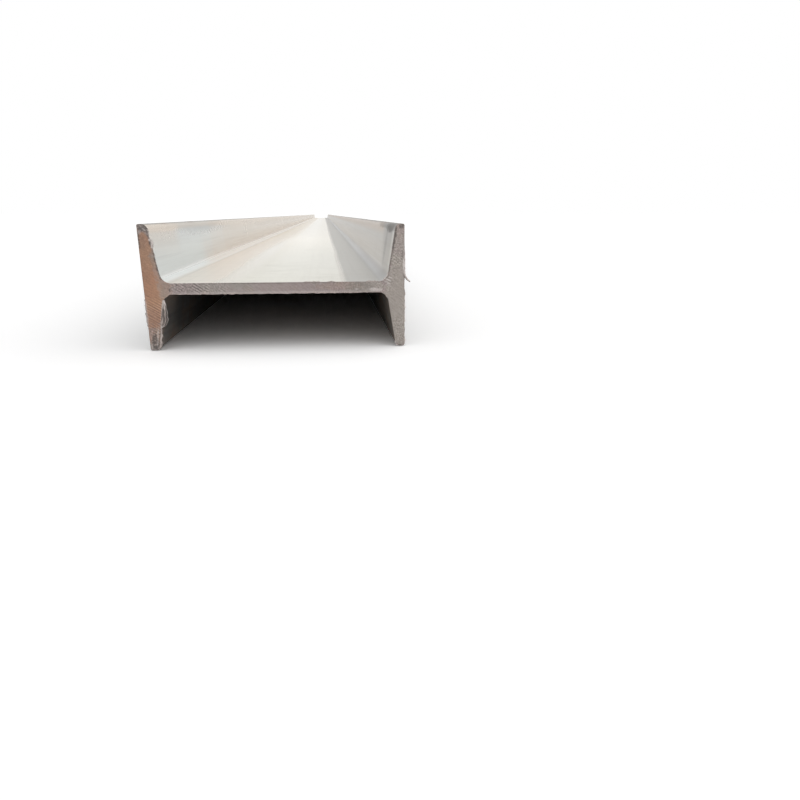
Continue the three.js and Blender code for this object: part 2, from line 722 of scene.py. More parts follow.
@dataclass(frozen=True)
class MillScale:
    """The rolled skin: grey scale with lengthwise streaks, painted sheen, light and shade in the upper
    trough, and rust.

    The painted trough colours begin at the web's upper face and end at flange_inside, the x of a
    toe's inner edge. They fade over trough_fade_foot and trough_fade_edge there.
    """

    trough_light_and_stains: TroughLightAndStains
    flange_inside: float
    trough_fade_foot: float = 3.0 * MM
    trough_fade_edge: float = 3.5 * MM
    dark_scale: Colour = (0.115, 0.118, 0.122)
    pale_scale: Colour = (0.270, 0.268, 0.258)
    rust: Colour = (0.310, 0.180, 0.105)
    deep_rust: Colour = (0.170, 0.100, 0.065)
    sheen: Colour = (1.0, 0.970, 0.890)
    metallic: float = 0.55
    roughness: float = 0.42
    rust_roughness: float = 0.72
    relief: float = 0.06 * MM
    streaks: Noise = Noise((34.0, 0.8, 34.0), 4.0, 0.6)
    fine_streaks: Noise = Noise((260.0, 3.0, 260.0), 3.0, 0.6)
    clouds: Noise = Noise(6.0, 6.0, 0.62)
    blooms: Noise = Noise(31.0, 5.0, 0.65)
    specks: Noise = Noise(420.0, 2.0, 0.6)

    def material(self) -> bpy.types.Material:
        """Builds the material.

        Returns:
            The material.
        """
        bench = ShaderBench("mill_scale")
        place = bench.place()
        x, y, z = bench.split(place)
        streaks, fine_streaks = bench.noise(place, self.streaks), bench.noise(place, self.fine_streaks)
        clouds, specks = bench.noise(place, self.clouds), bench.noise(place, self.specks)

        tone = (clouds * 0.5 + streaks * 0.35 + fine_streaks * 0.15).ramped(0.36, 0.62)
        scale = bench.tinted(tone, self.dark_scale, self.pale_scale)

        inside = abs(x).ramped(self.flange_inside + self.trough_fade_edge, self.flange_inside)
        floor = self.trough_light_and_stains.trough_floor
        in_trough = z.ramped(floor - self.trough_fade_foot, floor) * inside
        # The trough's painted sheen, light and shade, and its stains and streaks.
        trough_light_and_stains, trough_metallic, trough_roughness, gloss = self.trough_light_and_stains.lay(bench, place, streaks)
        trough_light_and_stains = bench.tinted(fine_streaks.ramped(0.40, 0.75) * 0.16, trough_light_and_stains, self.pale_scale)
        colour = bench.tinted(in_trough, scale, trough_light_and_stains)

        near_end = (self.trough_light_and_stains.half_length - abs(y)).ramped(0.9, 0.0)
        sheltered = z.ramped(floor * 0.9, floor * 0.8) * inside
        damp = near_end * (0.10 + sheltered * 0.08)
        bloom = clouds * 0.55 + bench.noise(place, self.blooms) * 0.45 + damp
        rusty = bloom.ramped(0.56, 0.74) * (1.0 - in_trough * 0.95) * (1.0 - sheltered * 0.35)
        rust_tone = (specks * 0.5 + fine_streaks * 0.5).ramped(0.35, 0.65)
        colour = bench.tinted(rusty * 0.8, colour, bench.tinted(rust_tone, self.deep_rust, self.rust))

        roughness = bench.mixed(in_trough, self.roughness, trough_roughness) + specks * 0.02
        roughness = bench.mixed(rusty, roughness, self.rust_roughness)
        metallic = bench.mixed(in_trough, self.metallic, trough_metallic) * (1.0 - rusty)
        height = specks * bench.mixed(in_trough, 0.35, 0.06) + fine_streaks * 0.2 + clouds * 0.5
        return bench.steel(colour, metallic, roughness, height, self.relief, self.sheen, gloss * in_trough)


@dataclass(frozen=True)
class SawnSteel:
    """The cut face: grey-brown steel, a bloom of rust, and places marked by crushing and smearing.

    It has painted shade lines along some arrises and a painted highlight on one edge, and the
    saw's ridges carry painted highlights on their crests and painted shade in their grooves.

    The blade's place is the x and z of the middle of the saw blade that drew its grain.
    """

    blade: tuple[float, float]
    plain: Colour = (0.315, 0.262, 0.252)
    greenish: Colour = (0.285, 0.275, 0.245)
    beige: Colour = (0.350, 0.285, 0.230)
    drab: Colour = (0.335, 0.302, 0.272)
    rust: Colour = (0.385, 0.205, 0.125)
    tan: Colour = (0.415, 0.232, 0.141)
    # Dark steel where crushing marked the cut, also used for painted shade lines along arrises.
    crushed_and_shaded: Colour = (0.110, 0.098, 0.090)
    crushed_and_shaded_vein: Colour = (0.400, 0.350, 0.330)
    bright: Colour = (0.640, 0.590, 0.570)
    metallic: float = 0.55
    rusted_metallic: float = 0.2
    roughness: float = 0.48
    crushed_and_shaded_roughness: float = 0.75
    relief: float = 0.14 * MM
    clouds: Noise = Noise(26.0, 4.0, 0.6)
    small_clouds: Noise = Noise(40.0, 5.0, 0.6)
    small_clouds_shift: tuple[float, float, float] = (3.1, 0.0, 1.7)
    specks: Noise = Noise(620.0, 3.0, 0.7)
    drawn_grain: Noise = Noise((620.0, 110.0, 1.0), 4.0, 0.7)

    def material(self) -> bpy.types.Material:
        """Builds the material.

        Returns:
            The material.
        """
        bench = ShaderBench("sawn_steel")
        place = bench.place()
        rust, crush_and_shade, bright, drab, mottle, ridge = (bench.attribute(name) for name in CUT_VALUES)
        clouds, specks = bench.noise(place, self.clouds), bench.noise(place, self.specks)
        small_clouds = bench.noise(bench.vector("ADD", place, self.small_clouds_shift), self.small_clouds)
        drawn = bench.noise(self.round_blade(bench, place), self.drawn_grain)
        grain = specks * 0.45 + drawn * 0.55

        colour = bench.tinted(clouds.ramped(0.42, 0.64) * 0.6, self.plain, self.greenish)
        colour = bench.tinted(small_clouds.ramped(0.50, 0.68) * 0.6, colour, self.beige)
        colour = bench.tinted(drab * 0.85, colour, self.drab)
        rusted = bench.tinted(clouds.ramped(0.42, 0.60), self.rust, self.tan)
        colour = bench.tinted(rust * small_clouds.ramped(0.2, 0.55, 0.85, 1.0), colour, rusted)
        even, uneven = grain.ramped(0.30, 0.70, 0.80, 1.20), specks.ramped(0.34, 0.66, 0.52, 1.48)
        # The ridge value paints highlights on the saw's crests and shade in its grooves.
        light = (1.0 + (ridge - 0.5) * 1.6) * bench.mixed(mottle, even, uneven)
        colour = bench.lit(colour, light)
        # Places marked by crushing, and painted shade lines along some arrises.
        crushed_and_shaded = bench.tinted(specks.ramped(0.54, 0.64) * 0.8, self.crushed_and_shaded, self.crushed_and_shaded_vein)
        colour = bench.tinted(crush_and_shade * grain.ramped(0.75, 0.40, 0.75, 1.0), colour, crushed_and_shaded)
        colour = bench.tinted(bright * grain.ramped(0.35, 0.55, 0.3, 1.0), colour, self.bright)

        roughness = bench.mixed(crush_and_shade, self.roughness + grain * 0.1, self.crushed_and_shaded_roughness)
        metallic = bench.mixed(rust, self.metallic, self.rusted_metallic)
        return bench.steel(colour, metallic, roughness, grain, self.relief)

    def round_blade(self, bench: ShaderBench, place: Wire) -> Wire:
        """The place as the saw blade sees it.

        Args:
            bench: The material's node tree.
            place: The point's place.

        Returns:
            The distance from the middle of the blade and the way round it, in metres.
        """
        x, _, z = bench.split(place)
        right, up = x - self.blade[0], z - self.blade[1]
        way_round = bench.maths("ARCTAN2", up, right) * math.hypot(*self.blade)
        return bench.joined(bench.distance(right, up), way_round, 0.0)


@dataclass(frozen=True)
class BurrSteel:
    """Steel drawn out past the arris: bright on small burrs and on the rims of large ones.

    A burr is small or large by how far it is drawn out. Its folds are counted across it, from root
    to tip, and along it, to a metre of height.
    """

    inside: Colour = (0.225, 0.190, 0.172)
    pale: Colour = (0.600, 0.548, 0.520)
    small: float = 2.2 * MM
    large: float = 4.6 * MM
    metallic: float = 0.4
    rim_metallic: float = 0.7
    roughness: float = 0.36
    relief: float = 0.10 * MM
    grain: Noise = Noise((1000.0, 300.0, 240.0), 3.0, 0.65)
    folds: Noise = Noise(1.0, 2.0, 0.6)
    folds_across: float = 6.0
    folds_along: float = 45.0

    def material(self) -> bpy.types.Material:
        """Builds the material.

        Returns:
            The material.
        """
        bench = ShaderBench("burr_steel")
        tip, drawn, shine = (bench.attribute(name) for name in ("tip", "drawn", "shine"))
        place = bench.place()
        grain = bench.noise(place, self.grain)
        _, _, z = bench.split(place)
        folds = bench.noise(bench.joined(tip * self.folds_across, 0.0, z * self.folds_along), self.folds)
        rim = bench.maths("MAXIMUM", tip.ramped(0.86, 0.93), drawn.ramped(self.large, self.small))
        slit = abs(tip - 0.76).ramped(0.12, 0.05) * drawn.ramped(self.small, self.large) * 0.85
        light = grain.ramped(0.32, 0.68, 0.65, 1.35) * folds.ramped(0.40, 0.62, 0.45, 2.10) * (1.0 - slit)
        inside = bench.lit(self.inside, light)
        colour = bench.tinted(rim * shine * grain.ramped(0.34, 0.60, 0.25, 1.0), inside, self.pale)
        metallic = bench.mixed(rim, self.metallic, self.rim_metallic)
        return bench.steel(colour, metallic, self.roughness + grain * 0.2, grain, self.relief)


@dataclass(frozen=True)
class PaleFloor:
    """A pale floor that the camera sees as white in the open and darker in a shadow."""

    shade: float = 0.80
    seen_shade: float = 1.24

    def material(self) -> bpy.types.Material:
        """Builds the material.

        Returns:
            The material.
        """
        bench = ShaderBench("pale_floor")
        shade = bench.mixed(seen_directly(bench), self.shade, self.seen_shade)
        matt = bench.node("ShaderNodeBsdfDiffuse", inputs={"Color": bench.joined(shade, shade, shade)})
        bench.node("ShaderNodeOutputMaterial", inputs={"Surface": matt.outputs[0]})
        return bench.material


def seen_directly(bench: NodeBench) -> Wire:
    """Tells what the camera sees, straight or in a gloss or a glass, from what lights a surface.

    Args:
        bench: The tree that needs it.

    Returns:
        1 for what is seen and 0 for scattered light.
    """
    path = bench.node("ShaderNodeLightPath")
    camera, glossy, through = (
        Wire(bench, path.outputs[f"Is {kind} Ray"]) for kind in ("Camera", "Glossy", "Transmission")
    )
    return bench.maths("MINIMUM", camera + glossy + through, 1.0)


# ---- The section ----


def arc(centre: tuple[float, float], radius: float, start: float, end: float, steps: int) -> np.ndarray:
    """Points of an arc, both ends included, as rows of x and height. The angles are in radians."""
    angles = np.linspace(start, end, steps + 1)
    return np.stack([centre[0] + radius * np.cos(angles), centre[1] + radius * np.sin(angles)], 1)


@dataclass(frozen=True)
class RolledSection:
    """The section that the rolls leave: two tapered flanges joined by a web.

    x runs across the depth and the height is measured from the middle of the web's thickness. The
    flat faces of the outline have a narrow strip at each end, as wide as the support.
    """

    depth: float
    width: float
    web: float
    mean_flange: float = 13 * MM
    slope: float = 1 / 6
    root_radius: float = 10 * MM
    toe_radius: float = 5 * MM
    back_radius: float = 1.5 * MM
    support: float = 0.6 * MM

    # How many pieces each face and rounding of the outline is drawn in.
    back_pieces: int = 5
    back_arc_pieces: int = 4
    toe_pieces: int = 1
    toe_arc_pieces: int = 8
    inner_pieces: int = 5
    root_arc_pieces: int = 9
    web_pieces: int = 6

    # How many rows the two roundings of a flange have in the grid of a sawn end.
    root_rows: int = 18
    toe_rows: int = 12

    @property
    def lean(self) -> float:
        """The angle of a flange's inner face."""
        return math.atan(self.slope)

    @property
    def back(self) -> float:
        """x of the back of a flange."""
        return self.depth / 2

    @property
    def toe(self) -> float:
        """Height of the toes."""
        return self.width / 2

    def slanted(self, height: Any) -> Any:
        """x of the inner face's straight part, drawn on to any height."""
        toe_inside = self.back - self.mean_flange + self.slope * (self.toe - self.web / 2) / 2
        return toe_inside - self.slope * (self.toe - height)

    @property
    def root_centre(self) -> tuple[float, float]:
        """Centre of the fillet between the web and a flange."""
        height = self.web / 2 + self.root_radius
        return self.slanted(height) - self.root_radius / math.cos(self.lean), height

    @property
    def toe_centre(self) -> tuple[float, float]:
        """Centre of the rounding inside a toe."""
        height = self.toe - self.toe_radius
        return self.slanted(height) + self.toe_radius / math.cos(self.lean), height

    def inner(self, heights: np.ndarray) -> np.ndarray:
        """The inside of the right flange.

        Args:
            heights: Heights from the middle of the web.

        Returns:
            x of the inner face at each height, and of the web's end within the web.
        """
        heights = np.abs(heights)
        (root_x, root_z), (toe_x, toe_z) = self.root_centre, self.toe_centre
        rise = math.sin(self.lean)
        root = root_x + np.sqrt(np.clip(self.root_radius**2 - (root_z - heights) ** 2, 0, None))
        toe = toe_x - np.sqrt(np.clip(self.toe_radius**2 - (heights - toe_z) ** 2, 0, None))
        x = np.where(heights < root_z - self.root_radius * rise, root, self.slanted(heights))
        x = np.where(heights < self.web / 2, root_x, x)
        return np.where(heights > toe_z + self.toe_radius * rise, toe, x)

    def outer(self, heights: np.ndarray) -> np.ndarray:
        """x of a flange's back at each height."""
        over = np.clip(np.abs(heights) - (self.toe - self.back_radius), 0, self.back_radius)
        return self.back - self.back_radius + np.sqrt(self.back_radius**2 - over**2)

    def levels(self, cell: float) -> np.ndarray:
        """Heights of the rows of a grid over a flange.

        Args:
            cell: The spacing of the rows, which is closer where an edge is rounded.

        Returns:
            The heights from the lower toe to the upper one, the web's faces among them.
        """
        (_, root_z), (_, toe_z) = self.root_centre, self.toe_centre
        in_web = np.linspace(0, self.web / 2, 1 + round(self.web / 2 / cell))
        root = arc((0, root_z), self.root_radius, -math.pi / 2, -self.lean, self.root_rows)[:, 1]
        toe = arc((0, toe_z), self.toe_radius, self.lean, math.pi / 2, self.toe_rows)[:, 1]
        plain = np.linspace(root[-1], toe[0], 2 + round((toe[0] - root[-1]) / cell))
        upper = np.concatenate([in_web, root[1:], plain[1:], toe[1:]])
        return np.concatenate([-upper[:0:-1], upper])

    def supported(self, start: np.ndarray, end: np.ndarray, pieces: int) -> np.ndarray:
        """Points of a flat face between two roundings.

        The narrow strip at each end keeps the shading of the roundings out of the flat face.

        Args:
            start: Where the face starts.
            end: Where it ends.
            pieces: How many pieces it is drawn in.

        Returns:
            The points from just inside the start to just inside the end.
        """
        shares = np.linspace(0, 1, pieces + 1)
        edge = self.support / float(np.linalg.norm(end - start))
        shares[0], shares[-1] = edge, 1 - edge
        return start + (end - start) * shares[:, None]

    def quarter(self) -> np.ndarray:
        """Draws the upper right quarter of the outline.

        Returns:
            Its points, from the middle of the back to the middle of the web.
        """
        lean, half = self.lean, math.pi / 2
        back_corner = (self.back - self.back_radius, self.toe - self.back_radius)
        back_arc = arc(back_corner, self.back_radius, 0, half, self.back_arc_pieces)
        toe_arc = arc(self.toe_centre, self.toe_radius, half, math.pi - lean, self.toe_arc_pieces)
        root_arc = arc(self.root_centre, self.root_radius, -lean, -half, self.root_arc_pieces)
        back_middle = np.array([self.back, 0.0])
        web_middle = np.array([0.0, self.web / 2])
        return np.concatenate(
            [
                [back_middle],
                self.supported(back_middle, back_arc[0], self.back_pieces)[1:],
                back_arc,
                self.supported(back_arc[-1], toe_arc[0], self.toe_pieces),
                toe_arc,
                self.supported(toe_arc[-1], root_arc[0], self.inner_pieces),
                root_arc,
                self.supported(root_arc[-1], web_middle, self.web_pieces)[:-1],
                [web_middle],
            ]
        )

    def outline(self) -> np.ndarray:
        """Draws the whole closed outline.

        Returns:
            Its points, anticlockwise from the middle of the right flange's back.
        """
        right = self.quarter()
        left = right * (-1, 1)
        return np.concatenate([right, left[-2::-1], -right[1:], -left[-2:0:-1]])


# ---- Mesh work shared by the pieces ----


@dataclass(frozen=True)
class Unevenness:
    """Smooth random values from -1 to 1 on a lattice, the same on every run.

    Layers lie shifted over each other, and their sum is divided by the damping.
    """

    seed: int
    cells: int = 256
    shift: tuple[int, int] = (17, 31)
    damping: float = 1.6

    def at(self, u: np.ndarray, v: np.ndarray) -> np.ndarray:
        """Reads the lattice, which repeats beyond its cells.

        Args:
            u: Places along the first direction, in lattice cells.
            v: Places along the second one.

        Returns:
            The values there.
        """
        size = self.cells
        table = np.random.default_rng(self.seed).uniform(-1, 1, (size, size))
        cell_u, cell_v = np.floor(u).astype(int), np.floor(v).astype(int)
        part_u, part_v = eased(u - cell_u), eased(v - cell_v)
        corner = [[table[(cell_u + i) % size, (cell_v + j) % size] for j in (0, 1)] for i in (0, 1)]
        low = corner[0][0] + (corner[0][1] - corner[0][0]) * part_v
        high = corner[1][0] + (corner[1][1] - corner[1][0]) * part_v
        return low + (high - low) * part_u

    def along(self, u: np.ndarray, row: float) -> np.ndarray:
        """The values along one line of the lattice."""
        return self.at(u, np.full_like(u, row))

    def layered(self, u: np.ndarray, v: np.ndarray, layers: int = 4) -> np.ndarray:
        """Adds finer values on top, each layer half as large and half as high as the last.

        Args:
            u: Places along the first direction, in lattice cells.
            v: Places along the second one.
            layers: How many layers there are.

        Returns:
            The sums there.
        """
        total = 0.0
        for i in range(layers):
            total = total + self.at(u * 2**i + self.shift[0] * i, v * 2**i + self.shift[1] * i) / 2**i
        return total / self.damping


def eased(share: np.ndarray) -> np.ndarray:
    """A share from 0 to 1 that sets off and arrives gently."""
    return share * share * (3 - 2 * share)


def keep_values(mesh: bpy.types.Mesh, name: str, values: np.ndarray) -> None:
    """Stores a number for each vertex of a mesh."""
    mesh.attributes.new(name, "FLOAT", "POINT").data.foreach_set("value", values)


def whole_numbers(items: Any, name: str) -> np.ndarray:
    """Reads a whole number of each item of a mesh.

    Args:
        items: The mesh's loops or faces.
        name: The number's name.

    Returns:
        The numbers.
    """
    found = np.empty(len(items), dtype=np.int32)
    items.foreach_get(name, found)
    return found


def placed(name: str, data: bpy.types.ID) -> bpy.types.Object:
    """Puts a mesh, a lamp or a camera into the scene.

    Args:
        name: The object's name.
        data: What the object holds.

    Returns:
        The object, at the origin.
    """
    made = bpy.data.objects.new(name, data)
    bpy.context.scene.collection.objects.link(made)
    return made


def loop_lengths(points: np.ndarray) -> np.ndarray:
    """How far round a closed loop each of its points lies, from 0 to 1."""
    steps = np.linalg.norm(np.roll(points, -1, 0) - points, axis=1)
    return np.concatenate([[0], np.cumsum(steps)[:-1]]) / steps.sum()


def loop_outward(points: np.ndarray) -> np.ndarray:
    """Finds the outward directions along a loop.

    Args:
        points: The points of an anticlockwise loop.

    Returns:
        A direction of length 1 for each.
    """
    along = np.roll(points, -1, 0) - np.roll(points, 1, 0)
    outward = np.stack([along[:, 1], -along[:, 0]], 1)
    return outward / np.linalg.norm(outward, axis=1, keepdims=True)


def strip(first: np.ndarray, second: np.ndarray) -> list[Face]:
    """Quads between two closed loops with the same number of vertices."""
    after_first, after_second = np.roll(first, -1), np.roll(second, -1)
    return list(zip(*(loop.tolist() for loop in (first, second, after_second, after_first))))


def zipped(first: np.ndarray, second: np.ndarray, first_at: np.ndarray, second_at: np.ndarray) -> list[Face]:
    """Triangles between two closed loops with different numbers of vertices.

    Args:
        first: Vertex numbers of one loop.
        second: Vertex numbers of the other one, which starts beside the first and goes the same way.
        first_at: How far round its loop each vertex of the first lies, from 0 to 1.
        second_at: The same for the second.

    Returns:
        The triangles, facing as strip() faces its quads.
    """
    ends = np.concatenate([np.append(first_at[1:], 1.0), np.append(second_at[1:], 1.0)])
    on_first = np.argsort(ends, kind="stable") < len(first)
    i = np.cumsum(on_first) - on_first
    j = np.cumsum(~on_first) - ~on_first
    here, there = first[i % len(first)], second[j % len(second)]
    ahead = np.where(on_first, first[(i + 1) % len(first)], second[(j + 1) % len(second)])
    return list(zip(here.tolist(), there.tolist(), ahead.tolist()))


def block_quads(numbers: np.ndarray) -> list[Face]:
    """Quads of a grid of vertex numbers, with x along its columns and the height along its rows."""
    corners = (numbers[:-1, :-1], numbers[:-1, 1:], numbers[1:, 1:], numbers[1:, :-1])
    return list(zip(*(corner.ravel().tolist() for corner in corners)))


# ---- Sawn ends ----


class EndSide(Enum):
    """Which end of the beam, as the sign of its y."""

    NEAR = -1
    FAR = 1


class MarkKind(Enum):
    """What makes a place on a cut differ, by the name of its value."""

    RUSTED = "rust"
    # Steel marked by crushing, and painted shade lines along some arrises.
    CRUSHED_AND_SHADED = "crush_and_shade"
    # Smeared bright steel, and a painted highlight on one edge.
    BRIGHT = "bright"
    DRAB = "drab"
    MOTTLED = "mottle"
    RIDGED = "ridged"


@dataclass(frozen=True)
class Mark:
    """An oval place on a cut, with a ragged border.

    x and height place its middle, across and up are half its sizes, all in millimetres from the
    middle of the section. The strength is the cover in its middle, the turn is in degrees and the
    sink in millimetres. The border lies at swell times the sizes, and fray is how far it comes and
    goes.
    """

    x: float
    height: float
    across: float
    up: float
    strength: float = 1.0
    turn: float = 0.0
    sink: float = 0.0
    swell: float = 1.15
    fray: float = 0.35

    def cover(self, x: np.ndarray, height: np.ndarray, ragged: np.ndarray) -> np.ndarray:
        """How far the mark covers some points.

        Args:
            x: Their x.
            height: Their heights.
            ragged: Random values there, by which the border frays.

        Returns:
            The cover of each, from 0 to the mark's strength.
        """
        turn = math.radians(self.turn)
        right, rise = x / MM - self.x, height / MM - self.height
        u = (right * math.cos(turn) + rise * math.sin(turn)) / self.across
        v = (rise * math.cos(turn) - right * math.sin(turn)) / self.up
        edge = self.swell - np.hypot(u, v) + self.fray * ragged
        return np.clip(edge / self.fray, 0, 1) * self.strength


@dataclass(frozen=True)
class RaggedEdge:
    """A stretch of the arris left uneven by the saw: a box, in millimetres from the section's middle.

    The reach is how far the arris stands out there, in millimetres. It dies away beyond the box,
    over the share fade of its sizes.
    """

    x: float
    height: float
    across: float
    up: float
    reach: float
    fade: float = 0.2

    def cover(self, points: np.ndarray) -> np.ndarray:
        """How far the arris stands out at each point, in metres."""
        off = np.abs(points / MM - (self.x, self.height)) / (self.across, self.up)
        return self.reach * MM * np.clip((1 + self.fade - off.max(1)) / self.fade, 0, 1)


@dataclass(frozen=True)
class Patches:
    """Soft patches over a cut: a mean value that comes and goes, over patches of that size."""

    mean: float
    swing: float
    size: float
    shift: float
    layers: int = 3

    def at(self, rough: Unevenness, x: np.ndarray, height: np.ndarray) -> np.ndarray:
        """The value at each point."""
        u, v = x / self.size + self.shift, height / self.size
        return self.mean + self.swing * rough.layered(u, v, self.layers)


@dataclass(frozen=True)
class SawnEnd:
    """One cut across the section: a grid over it with the saw's marks in relief, and a ragged arris.

    The blade's middle lies at blade_x and blade_height, and its ridges run round it. Each rises
    over the share ridge_rise of the pitch and wanders by the share ridge_wander. The ridges are
    faint, up to faint_limit, and strong where a mark says so. Where crushing marks the cut, and
    under the painted shade lines along arrises, they lose the share ridges_lost and the pits are
    deeper. A bright place stands forward by the smear.

    The arris is worn to a chamfer of uneven size. Its lips and nicks are what the saw has pushed
    out, by the crisp reach where no edge is ragged. Of that, the share lip_even is the same all
    along. They come forward by the share lip_forward, and have gone down to the share lip_foot at
    the first of the two rings behind the arris.
    """

    section: RolledSection
    side: EndSide
    half_length: float
    marks: dict[MarkKind, tuple[Mark, ...]]
    ragged: tuple[RaggedEdge, ...]
    seed: int
    cell: float = 0.5 * MM
    columns: int = 24
    blade_x: float = -0.63
    blade_height: float = -0.87
    fray_size: float = 3.0 * MM

    pitch: float = 2.3 * MM
    ridge: float = 0.34 * MM
    ridge_rise: float = 0.65
    ridge_wander: float = 0.35
    wander_size: tuple[float, float] = (30 * MM, 6 * MM)
    faint_ridges: Patches = Patches(0.02, 0.13, 16 * MM, shift=9, layers=4)
    faint_limit: float = 0.18
    strong_ridges: Patches = Patches(0.60, 0.70, 6 * MM, shift=70)
    ridges_lost: float = 0.7
    dishing: Patches = Patches(0.10 * MM, 0.10 * MM, 40 * MM, shift=40)
    pit_size: float = 1.2 * MM
    pits: float = 0.05 * MM
    crushed_and_shaded_pits: float = 0.35 * MM
    smear: float = 0.08 * MM

    chamfer: float = 0.28 * MM
    wear: float = 0.5
    wear_cells: int = 300
    crisp: float = 0.03 * MM
    arris_length: float = 0.95
    lip_length: float = 3.1 * MM
    nick_length: float = 1.1 * MM
    nick_share: float = 0.5
    lip_even: float = 0.25
    lip_bias: float = 0.35
    lip_forward: float = 0.4
    lip_foot: float = 0.6
    ring_depths: tuple[float, float] = (0.8 * MM, 3.2 * MM)

    def grid(self) -> tuple[np.ndarray, list[Face], np.ndarray]:
        """Lays the grid of the plain cut.

        Returns:
            The points as x and height, the quads, and the numbers of the border's points,
            anticlockwise from the middle of the right flange's back.
        """
        levels = self.section.levels(self.cell)
        inner, outer = self.section.inner(levels)[:, None], self.section.outer(levels)[:, None]
        across = inner + (outer - inner) * np.linspace(0, 1, self.columns + 1)
        right_points = np.stack([across, np.broadcast_to(levels[:, None], across.shape)], 2)
        left_points = right_points[:, ::-1] * (-1, 1)

        in_web = np.flatnonzero(np.abs(levels) < self.section.web / 2 + TINY)
        low, high = in_web[0], in_web[-1]
        root = self.section.root_centre[0]
        web_x = np.linspace(-root, root, 1 + round(2 * root / self.cell))[1:-1]
        web_points = np.stack(np.broadcast_arrays(web_x[None, :], levels[in_web, None]), 2)

        right = np.arange(across.size).reshape(across.shape)
        left = right + right.size
        web = 2 * right.size + np.arange(web_points[..., 0].size).reshape(web_points.shape[:2])
        web = np.concatenate([left[in_web, -1:], web, right[in_web, :1]], 1)
        points = [part.reshape(-1, 2) for part in (right_points, left_points, web_points)]
        quads = block_quads(right) + block_quads(left) + block_quads(web)

        middle = len(levels) // 2
        border = [
            right[middle:, -1],
            right[-1, -2::-1],
            right[-2:high:-1, 0],
            web[-1, ::-1],
            left[high + 1 :, -1],
            left[-1, -2::-1],
            left[-2::-1, 0],
            left[0, 1:],
            left[1:low, -1],
            web[0],
            right[low - 1 :: -1, 0],
            right[0, 1:],
            right[1:middle, -1],
        ]
        return np.concatenate(points), quads, np.concatenate(border)

    def marked(self, points: np.ndarray) -> dict[str, np.ndarray]:
        """Lays the marks over the cut.

        Args:
            points: The points of the cut.

        Returns:
            How far each kind of mark covers each point, from 0 to 1, and how deep the marks sink it.
        """
        x, height = points.T
        ragged = Unevenness(self.seed + 1).layered(x / self.fray_size, height / self.fray_size)
        found = {kind.value: np.zeros(len(points)) for kind in MarkKind}
        found["sink"] = np.zeros(len(points))
        for kind, marks in self.marks.items():
            for mark in marks:
                cover = mark.cover(x, height, ragged)
                found[kind.value] = np.maximum(found[kind.value], cover)
                found["sink"] += cover * mark.sink * MM
        return found

    def relief(self, points: np.ndarray, found: dict[str, np.ndarray]) -> tuple[np.ndarray, np.ndarray]:
        """The saw's marks at each point.

        Args:
            points: The points of the cut.
            found: What marked() gives for them.

        Returns:
            How far each point lies behind the plane of the end, and the ridges' painted light: above
            0.5 as a highlight on a crest, below it as shade in a groove.
        """
        x, height = points.T
        right, up = x - self.blade_x, height - self.blade_height
        away = np.hypot(right, up)
        round_arc = np.arctan2(up, right) * away
        rough = Unevenness(self.seed)
        wander = rough.layered(round_arc / self.wander_size[0], away / self.wander_size[1])
        turn = away / self.pitch + self.ridge_wander * wander
        part = turn - np.floor(turn)
        rising = part < self.ridge_rise
        tooth = eased(np.where(rising, part / self.ridge_rise, (1 - part) / (1 - self.ridge_rise)))

        strength = np.clip(self.faint_ridges.at(rough, x, height), 0, self.faint_limit)
        strength = strength + self.strong_ridges.at(rough, x, height) * found["ridged"]
        strength = np.clip(strength, 0, 1) * (1 - self.ridges_lost * found["crush_and_shade"])
        pitted = Unevenness(self.seed + 2).layered(x / self.pit_size, height / self.pit_size, 3)

        depth = self.ridge * strength * tooth + self.dishing.at(rough, x, height)
        depth += (self.pits + self.crushed_and_shaded_pits * found["crush_and_shade"]) * (1 + pitted)
        depth += found["sink"] - found["bright"] * self.smear
        # The squares' mean is near 0.38, so the painted ridge shading hardly changes the mean tone.
        return depth, 0.5 + strength * ((1 - tooth) ** 2 - 0.38) * 0.8

    def lips(self, points: np.ndarray) -> np.ndarray:
        """How far the saw has pushed the arris out.

        Args:
            points: The points of the arris.

        Returns:
            The reach at each, in metres.
        """
        rough = Unevenness(self.seed + 3)
        length = loop_lengths(points) * self.arris_length
        teeth = np.clip(rough.along(length / self.lip_length, 0.5) + self.lip_bias, 0, None)
        nicks = np.clip(rough.along(length / self.nick_length, 7.5), 0, None)
        reach = np.full(len(points), self.crisp)
        for stretch in self.ragged:
            reach = np.maximum(reach, stretch.cover(points))
        return reach * (self.lip_even + teeth + self.nick_share * nicks)

    def build(self, first: int) -> "EndMesh":
        """Builds the cut and the two rings that lead from its arris to the rolled skin.

        Args:
            first: The number that its first vertex gets in the whole mesh.

        Returns:
            The end's mesh.
        """
        points, quads, border = self.grid()
        found = self.marked(points)
        depth, found["ridge"] = self.relief(points, found)
        edge = points[border]
        outward = loop_outward(edge)
        lips = self.lips(edge)
        along = loop_lengths(edge) * self.wear_cells
        worn = Unevenness(self.seed + 4).layered(along, np.zeros(len(edge)), 2)
        depth[border] += self.chamfer * (1 + self.wear * worn) - self.lip_forward * lips
        depth = np.clip(depth, 0, None)

        near_ring = len(points) + np.arange(len(border))
        last_ring = near_ring + len(border)
        rings = [edge + outward * (lips * self.lip_foot)[:, None], edge]
        depths = [depth[border] + self.ring_depths[0], np.full(len(border), self.ring_depths[1])]
        points = np.concatenate([points, *rings])
        points[border] += outward * lips[:, None]
        depth = np.concatenate([depth, *depths])

        sides = strip(border, near_ring) + strip(near_ring, last_ring)
        y = self.side.value * (self.half_length - depth)
        where = np.stack([points[:, 0], y, points[:, 1] + self.section.toe], 1)
        blank = np.zeros(2 * len(border))
        held = {name: np.concatenate([found[name], blank]) for name in CUT_VALUES}
        return EndMesh(self.side, first, where, quads, sides, border, last_ring, edge, held)


